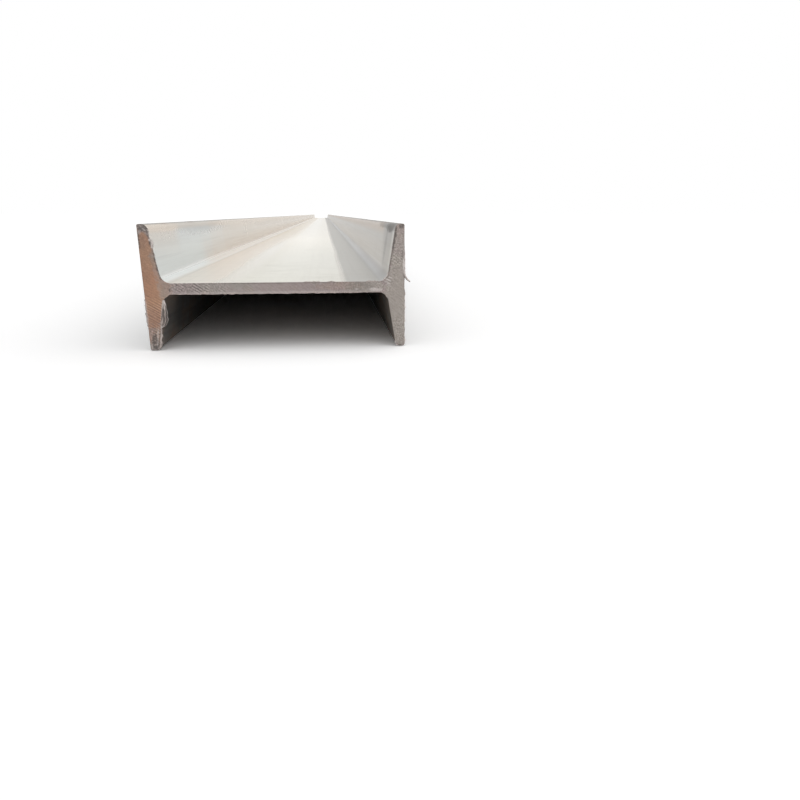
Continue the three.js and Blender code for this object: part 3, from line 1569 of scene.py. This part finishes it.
@dataclass
class EndMesh:
    """The vertices and faces of one end, numbered from 0, and where they start in the whole mesh."""

    side: EndSide
    first: int
    where: np.ndarray
    cut: list[Face]
    sides: list[Face]
    border: np.ndarray
    last_ring: np.ndarray
    edge: np.ndarray
    values: dict[str, np.ndarray]

    @property
    def turn(self) -> int:
        """The step through a face's corners that turns it outwards on this side."""
        return 1 if self.side is EndSide.NEAR else -1

    def numbered(self, faces: list[Face]) -> list[Face]:
        """Faces with their numbers in the whole mesh, facing outwards."""
        return [tuple(v + self.first for v in face[:: self.turn]) for face in faces]


# ---- Burrs ----


@dataclass(frozen=True)
class Rail:
    """A line that a burr is swept along, with the values that its points carry.

    The points are in the beam's own space. Outward is the direction that the burr is drawn in at
    each point, reach is how far, and girth is half its thickness, all in metres. Ragged is the share
    of the reach that comes and goes, and shine is how bright the steel is.
    """

    points: np.ndarray
    outward: np.ndarray
    reach: np.ndarray
    girth: np.ndarray
    ragged: float
    shine: float


@dataclass(frozen=True)
class Burr:
    """Steel that the saw has drawn out along a stretch of the arris.

    The stretch runs anticlockwise round the section, from one place to another, in millimetres from
    the section's middle. The reaches, in millimetres, are spread evenly along it.
    """

    start: tuple[float, float]
    end: tuple[float, float]
    reaches: tuple[float, ...]
    ragged: float = 0.7
    thickness: float = 0.6
    shine: float = 1.0

    def rail(self, edge: np.ndarray, y: float, toe: float) -> Rail:
        """The stretch of the arris that the burr stands on, with no reach past the floor.

        Args:
            edge: The arris, anticlockwise, as rows of x and height.
            y: Where it lies along the beam.
            toe: Height of the section's middle above the floor.

        Returns:
            The rail.
        """
        first, last = (int(np.hypot(*(edge / MM - place).T).argmin()) for place in (self.start, self.end))
        numbers = np.arange(first, last + (len(edge) if last < first else 0) + 1) % len(edge)
        points, outward = edge[numbers], loop_outward(edge)[numbers]
        share = np.linspace(0, 1, len(numbers))
        reach = np.interp(share, np.linspace(0, 1, len(self.reaches)), self.reaches) * MM
        girth = np.full(len(numbers), self.thickness / 2 * MM)
        level = np.zeros(len(numbers))
        room = np.clip(points[:, 1] + toe - girth, 0, None)
        reach = np.minimum(reach, room / np.clip(-outward[:, 1], TINY, None))
        return Rail(
            np.stack([points[:, 0], level + y, points[:, 1] + toe], 1),
            np.stack([outward[:, 0], level, outward[:, 1]], 1),
            reach,
            girth,
            self.ragged,
            self.shine,
        )


@dataclass(frozen=True)
class Shaving:
    """A thin curl of steel that still hangs on the arris by one end, in millimetres.

    The taper is the share of its thickness that it loses on the way.
    """

    start: tuple[float, float]
    end: tuple[float, float]
    forward: float
    bow: float
    thickness: float = 2.6
    taper: float = 0.5
    steps: int = 12
    shine: float = 0.7

    def rail(self, y: float, toe: float, side: EndSide) -> Rail:
        """The curl's middle line: a bow that comes forward of the cut and tapers to its free end.

        Args:
            y: Where the arris lies along the beam.
            toe: Height of the section's middle above the floor.
            side: The end that it hangs on.

        Returns:
            The rail.
        """
        share = np.linspace(0, 1, self.steps + 1)
        start, end = np.array(self.start) * MM, np.array(self.end) * MM
        run = end - start
        across = np.array([run[1], -run[0]]) / np.linalg.norm(run)
        bowed = start + run * share[:, None] + across * (self.bow * MM * np.sin(math.pi * share))[:, None]
        forward = y + side.value * self.forward * MM * np.sin(math.pi / 2 * share)
        points = np.stack([bowed[:, 0], forward, bowed[:, 1] + toe], 1)
        outward = np.tile([across[0], 0.0, across[1]], (len(share), 1))
        girth = self.thickness / 2 * MM * (1 - self.taper * share)
        return Rail(points, outward, np.zeros(len(share)), girth, ragged=0.0, shine=self.shine)


@dataclass(frozen=True)
class BurrSet:
    """All the burrs and shavings of one end, as one piece.

    They are seated that far behind the plane of the end, and lean forward of it by the share lean
    of their reach. Their torn rims have that many teeth to a metre, and the noise that tears them is
    eased between tooth_low and tooth_high.
    """

    name: str
    steel: BurrSteel
    end: SawnEnd
    burrs: tuple[Burr, ...]
    shavings: tuple[Shaving, ...] = ()
    seated: float = 0.45 * MM
    spacing: float = 0.8 * MM
    sides: int = 10
    teeth: float = 330.0
    tooth_low: float = 0.34
    tooth_high: float = 0.62
    lean: float = 0.15

    def rails(self) -> list[Rail]:
        """Finds the lines that the burrs are swept along.

        Returns:
            The rails.
        """
        points, _, border = self.end.grid()
        y = self.end.side.value * (self.end.half_length - self.seated)
        toe = self.end.section.toe
        rails = [burr.rail(points[border], y, toe) for burr in self.burrs]
        return rails + [shaving.rail(y, toe, self.end.side) for shaving in self.shavings]

    def plan(self) -> bpy.types.Mesh:
        """Draws all the rails as lines of edges.

        Returns:
            The mesh, with the rails' values at its vertices.
        """
        rails = self.rails()
        plan = bpy.data.meshes.new("burr_rails")
        edges, first = [], 0
        for rail in rails:
            edges += [(first + i, first + i + 1) for i in range(len(rail.points) - 1)]
            first += len(rail.points)
        plan.from_pydata(np.concatenate([rail.points for rail in rails]).tolist(), edges, [])
        outward = np.concatenate([rail.outward for rail in rails])
        plan.attributes.new("outward", "FLOAT_VECTOR", "POINT").data.foreach_set("vector", outward.ravel())
        for name in ("reach", "girth", "ragged", "shine"):
            values = [np.broadcast_to(getattr(rail, name), len(rail.points)) for rail in rails]
            keep_values(plan, name, np.concatenate(values))
        return plan

    def build(self) -> bpy.types.Object:
        """Sweeps a round section along every rail and draws its outer side out into a wedge.

        Returns:
            The piece.
        """
        bench = ShapeBench(
            self.name,
            {
                "Spacing": ("Float", self.spacing),
                "Sides": ("Int", self.sides),
                "Teeth per metre": ("Float", self.teeth),
                "Lean": ("Float", self.lean * self.end.side.value),
                "Seed": ("Float", float(self.end.seed)),
            },
        )
        rails = bench.wire("GeometryNodeMeshToCurve", inputs={0: bench.given("Plan")})
        inputs = {0: rails, "Length": bench.given("Spacing")}
        rails = bench.wire("GeometryNodeResampleCurve", {"mode": "LENGTH"}, inputs)
        place = bench.wire("GeometryNodeInputPosition")
        torn = bench.noise(place, bench.given("Teeth per metre"), bench.given("Seed"), 3.0)
        missing = bench.stored("ragged", "FLOAT") * (1.0 - torn.ramped(self.tooth_low, self.tooth_high))
        rails = bench.kept(rails, "drawn", bench.stored("reach", "FLOAT") * (1.0 - missing))
        outward = bench.stored("outward", "FLOAT_VECTOR")
        rails = bench.facing(rails, outward)

        inputs = {"Resolution": bench.given("Sides"), "Radius": 1.0}
        ring = bench.wire("GeometryNodeCurvePrimitiveCircle", inputs=inputs)
        out, _, _ = bench.split(bench.wire("GeometryNodeInputPosition"))
        ring = bench.kept(ring, "tip", bench.maths("MAXIMUM", out, 0.0))
        inputs = {0: rails, "Profile Curve": ring, "Scale": bench.stored("girth", "FLOAT"), "Fill Caps": True}
        tubes = bench.wire("GeometryNodeCurveToMesh", inputs=inputs)
        pull = bench.stored("tip", "FLOAT") * bench.stored("drawn", "FLOAT")
        leaning = bench.vector("ADD", outward, bench.joined(0.0, bench.given("Lean"), 0.0))
        bench.finish(bench.moved(tubes, bench.scaled(leaning, pull)), self.steel.material())
        return placed(self.name, bench.shape(self.plan()))


# ---- The beam ----


@dataclass(frozen=True)
class RolledSkin:
    """The section swept along the beam, with rings that are closer together near the ends.

    It stops short of each end by the inset, and its waviness dies away over the last stretch.
    """

    section: RolledSection
    half_length: float
    inset: float = 9 * MM
    rings: int = 112
    grading: float = 1.6
    wave: float = 0.22 * MM
    wave_count: float = 2.3
    wave_fade: float = 0.3
    seed: int = 5

    def plan(self) -> bpy.types.Mesh:
        """Draws the section's outline as a closed line of edges.

        Returns:
            The mesh, with each point's number on the outline.
        """
        outline = self.section.outline()
        count = len(outline)
        plan = bpy.data.meshes.new("section_outline")
        points = [(x, height, 0.0) for x, height in outline.tolist()]
        plan.from_pydata(points, [(i, (i + 1) % count) for i in range(count)], [])
        keep_values(plan, "order", np.arange(count, dtype=float))
        return plan

    def sweep(self, material: bpy.types.Material) -> bpy.types.Mesh:
        """Sweeps the outline along a graded rail and gives the skin its waviness.

        Args:
            material: The skin's finish.

        Returns:
            The mesh, with each vertex's number on the outline.
        """
        bench = ShapeBench(
            "rolled_skin",
            {
                "Half length": ("Float", self.half_length - self.inset),
                "Rings": ("Int", self.rings),
                "Grading": ("Float", self.grading),
                "Toe height": ("Float", self.section.toe),
                "Wave height": ("Float", self.wave),
                "Waves per metre": ("Float", self.wave_count),
                "Seed": ("Float", float(self.seed)),
            },
        )
        line = bench.wire("GeometryNodeCurvePrimitiveLine")
        rail = bench.wire("GeometryNodeResampleCurve", inputs={0: line, "Count": bench.given("Rings")})
        share = bench.wire("GeometryNodeSplineParameter") * 2.0 - 1.0
        to_end = 1.0 - abs(share)
        reach = (1.0 - to_end ** bench.given("Grading")) * bench.maths("SIGN", share)
        along = reach * bench.given("Half length") * -1.0
        place = bench.joined(0.0, along, bench.given("Toe height"))
        rail = bench.wire("GeometryNodeSetPosition", inputs={0: rail, "Position": place})
        rail = bench.facing(rail, (1.0, 0.0, 0.0))
        outline = bench.wire("GeometryNodeMeshToCurve", inputs={0: bench.given("Plan")})
        skin = bench.wire("GeometryNodeCurveToMesh", inputs={0: rail, "Profile Curve": outline})

        position = bench.wire("GeometryNodeInputPosition")
        _, y, _ = bench.split(position)
        noise = bench.noise(position, bench.given("Waves per metre"), bench.given("Seed"), 2.0, "Color")
        swing = bench.vector("MULTIPLY", bench.vector("SUBTRACT", noise, (0.5, 0.5, 0.5)), (1.0, 0.0, 1.0))
        fade = (bench.given("Half length") - abs(y)).ramped(0.0, self.wave_fade)
        wave = bench.scaled(swing, fade * bench.given("Wave height") * FULL_SWING)
        bench.finish(bench.moved(skin, wave), material)
        return bench.shape(self.plan())


class Surface(IntEnum):
    """The beam's two kinds of surface, by the number of their material."""

    ROLLED = 0
    SAWN = 1


@dataclass
class BeamMesh:
    """The beam's mesh while its parts are put together.

    around is how far round the section each vertex of the skin lies, from 0 to 1.
    """

    where: list[np.ndarray]
    around: list[np.ndarray]
    values: dict[str, list[np.ndarray]]
    faces: list[Face]
    surfaces: list[Surface]

    def add_faces(self, faces: list[Face], surface: Surface) -> None:
        """Adds faces of one kind of surface."""
        self.faces += faces
        self.surfaces += [surface] * len(faces)

    def add_end(self, end: EndMesh, ring: np.ndarray, ring_at: np.ndarray) -> None:
        """Adds a sawn end and the triangles that join it to the skin.

        Args:
            end: The end's mesh.
            ring: The vertex numbers of the skin's last ring.
            ring_at: How far round the section each of them lies, from 0 to 1.
        """
        edge_at = loop_lengths(end.edge)
        around = np.zeros(len(end.where))
        around[end.border] = edge_at
        around[-2 * len(edge_at) :] = np.tile(edge_at, 2)
        bridge = zipped(end.last_ring + end.first, ring, edge_at, ring_at)
        self.add_faces(end.numbered(end.cut), Surface.SAWN)
        self.add_faces(end.numbered(end.sides), Surface.ROLLED)
        self.add_faces([face[:: end.turn] for face in bridge], Surface.ROLLED)
        self.where.append(end.where)
        self.around.append(around)
        for name, found in end.values.items():
            self.values[name].append(found)

    def mesh(self, name: str, materials: list[bpy.types.Material], sharp_angle: float) -> bpy.types.Mesh:
        """Makes the mesh of all the parts.

        Args:
            name: Its name.
            materials: The material of each kind of surface.
            sharp_angle: The angle in degrees from which an edge stays sharp.

        Returns:
            The mesh.
        """
        mesh = bpy.data.meshes.new(name)
        mesh.from_pydata(np.concatenate(self.where).tolist(), [], self.faces)
        for material in materials:
            mesh.materials.append(material)
        mesh.polygons.foreach_set("material_index", self.surfaces)
        for label, found in self.values.items():
            keep_values(mesh, label, np.concatenate(found))
        mesh.polygons.foreach_set("use_smooth", [True] * len(mesh.polygons))
        mesh.set_sharp_from_angle(angle=math.radians(sharp_angle))
        mesh.update()
        return mesh


@dataclass(frozen=True)
class FlatMap:
    """The mesh laid out flat in a map named OFBake.

    The two cuts lie side by side along the top of the map. The skin is unrolled below them, in
    bands that each hold an equal part of the length, with room for lap_room times the way round the
    section. The margin is left free round each of them, and the inner margin is left round a cut as
    well, as a share of its own size.
    """

    section: RolledSection
    half_length: float
    bands: int = 3
    margin: float = 0.004
    inner_margin: float = 0.0075
    lap_room: float = 1.05
    cut_height: float = 0.236

    def lay(self, mesh: bpy.types.Mesh, where: np.ndarray, around: np.ndarray, rings: np.ndarray) -> None:
        """Adds the map to the mesh.

        Args:
            mesh: The beam's mesh.
            where: Its vertices.
            around: How far round the section each vertex of the skin lies, from 0 to 1.
            rings: y of the skin's rings.
        """
        corners = whole_numbers(mesh.loops, "vertex_index")
        totals = whole_numbers(mesh.polygons, "loop_total")
        surfaces = whole_numbers(mesh.polygons, "material_index")
        starts = np.concatenate([[0], np.cumsum(totals)[:-1]])
        face = np.repeat(np.arange(len(totals)), totals)
        points, lap = where[corners], around[corners]
        widest = np.maximum.reduceat(lap, starts)[face]
        lap = np.where((widest > 0.5) & (lap < widest - 0.5), lap + 1, lap) / self.lap_room
        middle = (np.add.reduceat(points[:, 1], starts) / totals)[face]
        skin = self.skin_map(points[:, 1], middle, lap, rings)
        sawn = (surfaces == Surface.SAWN)[face]
        uv = np.where(sawn[:, None], self.cut_map(points), skin)
        mesh.uv_layers.new(name="OFBake").uv.foreach_set("vector", uv.astype(np.float32).ravel())

    def skin_map(self, y: np.ndarray, middle: np.ndarray, lap: np.ndarray, rings: np.ndarray) -> np.ndarray:
        """Places the corners of the skin's faces.

        Args:
            y: y of each corner.
            middle: y of the middle of its face.
            lap: How far round the section it lies.
            rings: y of the skin's rings.

        Returns:
            Their places on the map.
        """
        targets = np.linspace(-self.half_length, self.half_length, self.bands + 1)[1:-1]
        cuts = np.sort([rings[np.abs(rings - target).argmin()] for target in targets])
        limits = np.concatenate([[-self.half_length], cuts, [self.half_length]])
        band = np.searchsorted(cuts, middle)
        tall = (1 - self.cut_height) / self.bands
        share = (y - limits[band]) / (limits[band + 1] - limits[band])
        u = share * (1 - 2 * self.margin) + self.margin
        v = band * tall + self.margin + lap * (tall - 2 * self.margin)
        return np.stack([u, v], 1)

    def cut_map(self, points: np.ndarray) -> np.ndarray:
        """Places the corners of the sawn faces.

        Args:
            points: The place of each corner in the beam's own space.

        Returns:
            Their places on the map.
        """
        x, y, z = points.T
        inner, edge = self.inner_margin, self.margin
        wide, tall = 0.5 - 2 * edge, self.cut_height - 2 * edge
        across = inner + (x / self.section.depth + 0.5) * (1 - 2 * inner)
        up = inner + z / self.section.width * (1 - 2 * inner)
        far_side = np.where(y > 0, 0.5, 0.0)
        return np.stack([far_side + edge + across * wide, 1 - self.cut_height + edge + up * tall], 1)


@dataclass(frozen=True)
class BeamLength:
    """The whole beam: the rolled skin closed by a sawn end at each side."""

    name: str
    section: RolledSection
    half_length: float
    scale: MillScale
    steel: SawnSteel
    near: SawnEnd
    far: SawnEnd
    sharp_angle: float = 50.0

    def build(self) -> bpy.types.Object:
        """Builds the mesh, its values and its map, and dresses it.

        Returns:
            The piece.
        """
        materials = [self.scale.material(), self.steel.material()]
        swept = RolledSkin(self.section, self.half_length).sweep(materials[Surface.ROLLED])
        where, rings = self.swept_rings(swept)
        bpy.data.meshes.remove(swept)
        ring_at = loop_lengths(self.section.outline())
        around = np.zeros(len(where))
        around[rings] = ring_at

        far = self.far.build(len(where))
        near = self.near.build(len(where) + len(far.where))
        values = {name: [np.zeros(len(where))] for name in CUT_VALUES}
        parts = BeamMesh([where], [around], values, [], [])
        for ring, next_ring in zip(rings[:-1], rings[1:]):
            parts.add_faces(strip(next_ring, ring), Surface.ROLLED)
        parts.add_end(far, rings[0], ring_at)
        parts.add_end(near, rings[-1], ring_at)

        mesh = parts.mesh(self.name, materials, self.sharp_angle)
        flat = FlatMap(self.section, self.half_length)
        flat.lay(mesh, np.concatenate(parts.where), np.concatenate(parts.around), where[rings[:, 0], 1])
        return placed(self.name, mesh)

    def swept_rings(self, swept: bpy.types.Mesh) -> tuple[np.ndarray, np.ndarray]:
        """Reads the swept skin.

        Args:
            swept: Its mesh.

        Returns:
            The places of its vertices, and their numbers in one row for each ring, from the far end
            to the near one, in the order of the outline.
        """
        where = np.empty(len(swept.vertices) * 3)
        swept.vertices.foreach_get("co", where)
        where = where.reshape(-1, 3)
        order = np.empty(len(where))
        swept.attributes["order"].data.foreach_get("value", order)
        order = order.reshape(-1, len(self.section.outline()))
        numbers = np.arange(len(where)).reshape(order.shape)
        return where, np.take_along_axis(numbers, np.argsort(order, 1), 1)


# ---- Studio ----


@dataclass(frozen=True)
class Studio:
    """The floor, the soft light and the camera.

    The lamp shines from the direction lamp_from, lamp_spread degrees wide. The camera looks down and
    to the right by so many degrees, and the rise is its upward shift as a share of the frame.
    """

    floor_size: float = 400.0
    floor_drop: float = 0.4 * MM
    sky: float = 0.55
    lamp: float = 1.26
    lamp_spread: float = 150.0
    lamp_from: tuple[float, float, float] = (0.62, -0.42, 0.72)
    eye: tuple[float, float, float] = (0.04807, -6.67491, 0.12676)
    down: float = 18.57
    right: float = 6.126
    lens: float = 30.27
    sensor: float = 36.0
    rise: float = 0.05
    clip: tuple[float, float] = (0.01, 500.0)

    def build(self) -> None:
        """Builds all of it."""
        self.floor()
        self.lights()
        self.camera()

    def floor(self) -> None:
        """A plain plane just under the toes."""
        half, level = self.floor_size / 2, -self.floor_drop
        corners = [(-half, -half, level), (half, -half, level), (half, half, level), (-half, half, level)]
        mesh = bpy.data.meshes.new("studio_floor")
        mesh.from_pydata(corners, [], [(0, 1, 2, 3)])
        mesh.materials.append(PaleFloor().material())
        floor = placed("studio_floor", mesh)

    def lights(self) -> None:
        """An even sky, which gloss and the camera see as white, and one very soft lamp."""
        world = bpy.data.worlds.new("studio_sky")
        world.use_nodes = True
        bench = NodeBench(world.node_tree)
        bench.tree.nodes.clear()
        strength = bench.mixed(seen_directly(bench), self.sky, 1.0)
        sky = bench.node("ShaderNodeBackground", inputs={"Color": (1.0, 1.0, 1.0, 1.0), "Strength": strength})
        bench.node("ShaderNodeOutputWorld", inputs={"Surface": sky.outputs[0]})
        bpy.context.scene.world = world

        lamp = bpy.data.lights.new("studio_lamp", "SUN")
        lamp.energy = self.lamp
        lamp.angle = math.radians(self.lamp_spread)
        light = placed("studio_lamp", lamp)
        light.rotation_euler = Vector(self.lamp_from).to_track_quat("Z", "Y").to_euler()

    def camera(self) -> None:
        """A camera close to the near end, a little above the upper toes."""
        lens = bpy.data.cameras.new("camera")
        lens.lens = self.lens
        lens.sensor_width = self.sensor
        lens.shift_y = self.rise
        lens.clip_start, lens.clip_end = self.clip
        camera = placed("camera", lens)
        camera.location = self.eye
        camera.rotation_euler = Euler((math.radians(90 - self.down), 0.0, -math.radians(self.right)))
        bpy.context.scene.camera = camera


# ---- Building ----

NEAR_MARKS = {
    MarkKind.RUSTED: (
        Mark(-121, 15, 8.5, 42, 0.95, turn=9.5),
        Mark(-119, 12, 12, 38, 0.5, turn=6),
        Mark(-119.8, 41, 6.5, 11.5, 0.9, turn=9.5),
        Mark(-119, -21, 13, 18, 0.85),
        Mark(-119, -42, 10, 12, 0.3),
        Mark(-108, 0, 9, 12, 0.35),
        Mark(60, 1, 22, 4, 0.12),
    ),
    MarkKind.DRAB: (
        Mark(84, 0, 20, 6),
        Mark(118, -16, 12, 50),
        Mark(116, 38, 10, 16, 0.5),
    ),
    MarkKind.RIDGED: (
        Mark(-115, -24, 12, 19, 0.95),
        Mark(-116, 6, 10, 12, 0.15),
        Mark(-93, 0, 7, 6, 0.95),
        Mark(-76, 0, 5.5, 5),
        Mark(-66.5, 0, 3, 5, 0.7),
        Mark(-52, -1, 4.5, 4, 0.6),
        Mark(-24.5, -1, 3.5, 5, 0.6),
        Mark(118, 26, 5, 5, 0.4),
    ),
    MarkKind.MOTTLED: (
        Mark(116, 36, 10, 24, 0.5),
        Mark(119, -44, 8, 14, 0.6),
        Mark(104, 0, 8, 7, 0.5),
        Mark(60, 0, 26, 6, 0.35),
        Mark(-88, 0, 15, 6, 0.65),
        Mark(-60, 0, 14, 6, 0.45),
        Mark(-119, -48, 8, 12, 0.6),
    ),
    MarkKind.CRUSHED_AND_SHADED: (
        Mark(-118.5, 57.0, 7.0, 5.0, 0.75, turn=15, sink=0.25),
        Mark(-115.2, 49.5, 1.6, 5.0, 0.6, turn=9.5),
        # Painted shade lines along the left back's edge.
        Mark(-124.4, 45, 1.2, 8, 0.75),
        Mark(-124.8, 16, 1.2, 20, 0.25),
        # A painted shade line along the left flange's upper inner arris.
        Mark(-110.6, 21, 0.9, 14, 0.8, turn=9.5),
        Mark(-107.2, 10, 1.1, 4, 0.55, turn=25),
        Mark(-113.8, 41.4, 1.3, 2.4, 0.95, turn=9.5),
        Mark(-84, 0, 16, 5, 0.14),
        Mark(-101.1, -1.5, 0.5, 2.2, 0.8, turn=-9, sink=0.1),
        Mark(-94.1, 3.3, 0.5, 1.5, 0.8),
        Mark(-90.4, -1.5, 0.6, 0.8, 0.6),
        Mark(-103, 1, 6, 5, 0.12),
        Mark(-119.5, -51, 3.4, 7.5, 0.75, sink=0.15),
        # A painted shade line along the left flange's lower inner arris.
        Mark(-114.9, -47, 0.5, 9, 0.7, turn=-9.5),
        # A painted shade line along the web's upper arris.
        Mark(0, 4.3, 98, 0.6, 0.45),
        Mark(80, 0, 14, 6, 0.3),
        Mark(-120, 30, 9, 22, 0.2),
        Mark(-121.5, 43, 4.0, 7, 0.3, turn=9.5),
        Mark(40, 0, 38, 6, 0.06),
        Mark(-119, -32, 9, 14, 0.16),
        # Painted shade lines along the right flange's inner arris.
        Mark(114.9, 44, 1.3, 14, 0.75, turn=-9.5),
        Mark(110.8, 22, 0.8, 12, 0.65, turn=-9.5),
        Mark(122.3, 57, 3.0, 2.8, 0.6),
        # A painted shade line on the right back's edge.
        Mark(123.2, 30, 0.6, 4, 0.6),
        Mark(119, -58.3, 4, 0.7, 0.6),
        Mark(110.4, 7.3, 2.0, 0.4, 0.45, turn=-21),
        Mark(109.5, 4.9, 2.4, 0.4, 0.45, turn=-27),
        Mark(108.8, 9.8, 0.7, 0.7, 0.8),
        Mark(107.3, 8.2, 0.7, 0.6, 0.8),
        Mark(105.3, 6.6, 0.7, 0.5, 0.6),
        # A painted shade line along the left flange's lower inner arris.
        Mark(-110.0, -24, 0.5, 13, 0.55, turn=-9.5),
    ),
    MarkKind.BRIGHT: (
        Mark(0, -4.3, 97, 0.9, 0.3),
        Mark(-119.2, 54.6, 2.6, 0.7, 0.6, turn=-35),
        Mark(-114.6, 48.5, 0.5, 4.0, 0.5, turn=9.5),
        Mark(-114.4, 44.6, 1.2, 0.8, 0.9, turn=-30),
        Mark(-113.0, 38.4, 1.1, 0.9, 0.9),
        Mark(-111.2, -25, 0.5, 12.5, 0.55, turn=-9.5),
        Mark(-117.0, -47, 1.0, 9, 0.4, turn=-9.5),
        Mark(-124.5, -23, 0.7, 13, 0.55),
        Mark(77.5, -2.2, 2.0, 0.7, 0.5),
        Mark(96, -2.8, 7.0, 1.6, 0.5, turn=-4),
        Mark(110.8, 8.6, 2.0, 0.45, 0.7, turn=-18),
        Mark(109.1, 6.2, 2.6, 0.55, 0.9, turn=-26),
        Mark(108.2, 3.7, 3.4, 0.45, 0.6, turn=-29),
        Mark(108.5, 1.6, 3.2, 0.4, 0.35, turn=-29),
        # A painted highlight on the right back's edge.
        Mark(124.1, 20.5, 0.5, 8.5, 0.8),
    ),
}
NEAR_EDGES = (
    RaggedEdge(0, -6, 104, 4.5, 0.7),
    RaggedEdge(125, -30, 4, 24, 0.6),
    RaggedEdge(125, 22, 3, 14, 0.4),
    RaggedEdge(-112, -36, 6, 22, 0.6),
    RaggedEdge(-114, 44, 5, 12, 0.8),
)
NEAR_BURRS = (
    Burr((-112.8, -37), (-108.0, -10), (0.6, 4.5, 5.9, 6.3, 6.2, 5.4, 4.4, 3.8, 3.4, 1.2), 0.16, 0.9, 0.8),
    Burr((-117.2, -57), (-112.9, -37), (1.8, 2.6, 3.0, 2.7, 2.0, 1.5, 0.9), 0.6, 0.6, 0.4),
    Burr((-112.5, 37.5), (-114.0, 45.5), (0.3, 1.6, 1.2, 2.6, 1.6, 2.0, 0.3), 0.6, 1.0, 0.9),
    Burr((-114.2, 46), (-116.4, 54), (0.3, 0.8, 0.3, 0.9, 0.4), 1.0, 0.6, 0.4),
    Burr((-125, -10), (-125, -36), (0.4, 0.9, 0.6, 1.0, 0.5, 0.9, 0.3), 1.0, 0.6, 0.7),
    Burr((-104.0, -7), (106.0, -9), (0.3, 0.8, 0.9, 0.9, 0.7, 0.9, 0.9, 0.7, 0.3), 1.0, 0.5, 0.25),
    Burr((57, 5), (49, 5), (0.1, 0.7, 0.1, 0.8, 0.1, 0.6, 0.1), 1.0, 0.5, 0.1),
    Burr((42, 5), (27, 5), (0.1, 0.8, 0.1, 0.3, 0.9, 0.1, 0.7, 0.1, 0.6, 0.1), 1.0, 0.5, 0.1),
    Burr((109.0, 13.0), (103.5, 6.2), (0.2, 0.9, 0.4, 0.9, 0.3), 1.0, 0.6, 0.9),
    Burr((99, 5), (87, 5), (0.2, 0.9, 0.4, 0.8, 0.2), 1.0, 0.6, 0.4),
    Burr((125, 10), (125, 35), (0.8, 0.6, 0.5, 0.6, 0.3), 0.7),
    Burr((125, -35), (125, -9), (0.9, 0.4, 0.9, 0.5, 0.4), 0.9),
    Burr((116.6, -53), (118.2, -57.8), (0.5, 0.9, 0.8, 0.6), 0.9),
    Burr((125, -57), (125, -50), (0.5, 0.9, 0.4), 0.9),
)
NEAR_SHAVINGS = (Shaving((124.8, 11.8), (130.4, 4.4), forward=1.5, bow=0.9),)
FAR_MARKS = {
    MarkKind.RUSTED: (
        Mark(118, -12, 10, 30, 0.8),
        Mark(-116, 26, 10, 22, 0.6),
    ),
    MarkKind.RIDGED: (
        Mark(114, 20, 14, 26, 0.9),
        Mark(40, 0, 30, 6, 0.5),
    ),
    MarkKind.CRUSHED_AND_SHADED: (Mark(119, 53, 4.5, 5.5, 0.8, sink=0.2),),
    MarkKind.BRIGHT: (Mark(-60, -3, 16, 1.2, 0.5),),
}
FAR_EDGES = (
    RaggedEdge(0, -6, 104, 4.5, 0.6),
    RaggedEdge(-125, 10, 3, 26, 0.5),
    RaggedEdge(112, -42, 8, 18, 0.5),
)
FAR_BURRS = (
    Burr((-107.8, -12), (107.8, -12), (0.3, 0.8, 0.9, 0.7, 0.8, 0.9, 0.7, 0.8, 0.3), 1.0, 0.5),
    Burr((108.5, -14), (113.4, -40), (0.5, 2.4, 3.8, 3.2, 1.2), 0.3, 0.8),
    Burr((-125, 34), (-125, -12), (0.3, 0.7, 0.4, 0.8, 0.4), 0.9),
    Burr((-117.2, -57), (-115.5, -50), (0.6, 1.2, 0.9, 0.5), 0.8),
)


def section_of_frame() -> RolledSection:
    """Reads the section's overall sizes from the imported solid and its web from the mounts.

    Returns:
        The section.
    """
    low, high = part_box(NODE)
    heights = {mount["name"]: mount["pos_m"][2] for mount in frame["record"]["mounts"]}
    web = heights["web_upper_face"] - heights["web_lower_face"]
    return RolledSection(depth=high.x - low.x, width=high.z - low.z, web=web)


def hand_over(piece: bpy.types.Object, stands_for: str | None = None) -> None:
    """Puts a finished piece on the beam's body and reports it.

    Args:
        piece: The piece.
        stands_for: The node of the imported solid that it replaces, if it does.
    """
    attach(piece, BODY)
    if stands_for:
        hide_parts(stands_for)
    triangles = sum(len(face.vertices) - 2 for face in piece.data.polygons)
    log.info("%s: %d triangles", piece.name, triangles)


def main() -> None:
    """Builds the studio and the beam."""
    logging.basicConfig(level=logging.INFO, format="%(name)s: %(message)s")
    bpy.context.scene.view_settings.view_transform = "Standard"
    Studio().build()

    section = section_of_frame()
    half_length = float(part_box(NODE)[1].y)
    trough_light_and_stains = TroughLightAndStains(section.toe + section.web / 2, half_length)
    scale = MillScale(trough_light_and_stains, section.slanted(section.toe))
    near = SawnEnd(section, EndSide.NEAR, half_length, NEAR_MARKS, NEAR_EDGES, seed=11)
    far = SawnEnd(section, EndSide.FAR, half_length, FAR_MARKS, FAR_EDGES, seed=23)
    steel = SawnSteel((near.blade_x, section.toe + near.blade_height))
    beam = BeamLength("i_beam_stock", section, half_length, scale, steel, near, far).build()
    hand_over(beam, NODE)
    burr_steel = BurrSteel()
    hand_over(BurrSet("near_end_burrs", burr_steel, near, NEAR_BURRS, NEAR_SHAVINGS).build())
    hand_over(BurrSet("far_end_burrs", burr_steel, far, FAR_BURRS).build())


if __name__ == "__main__":
    main()
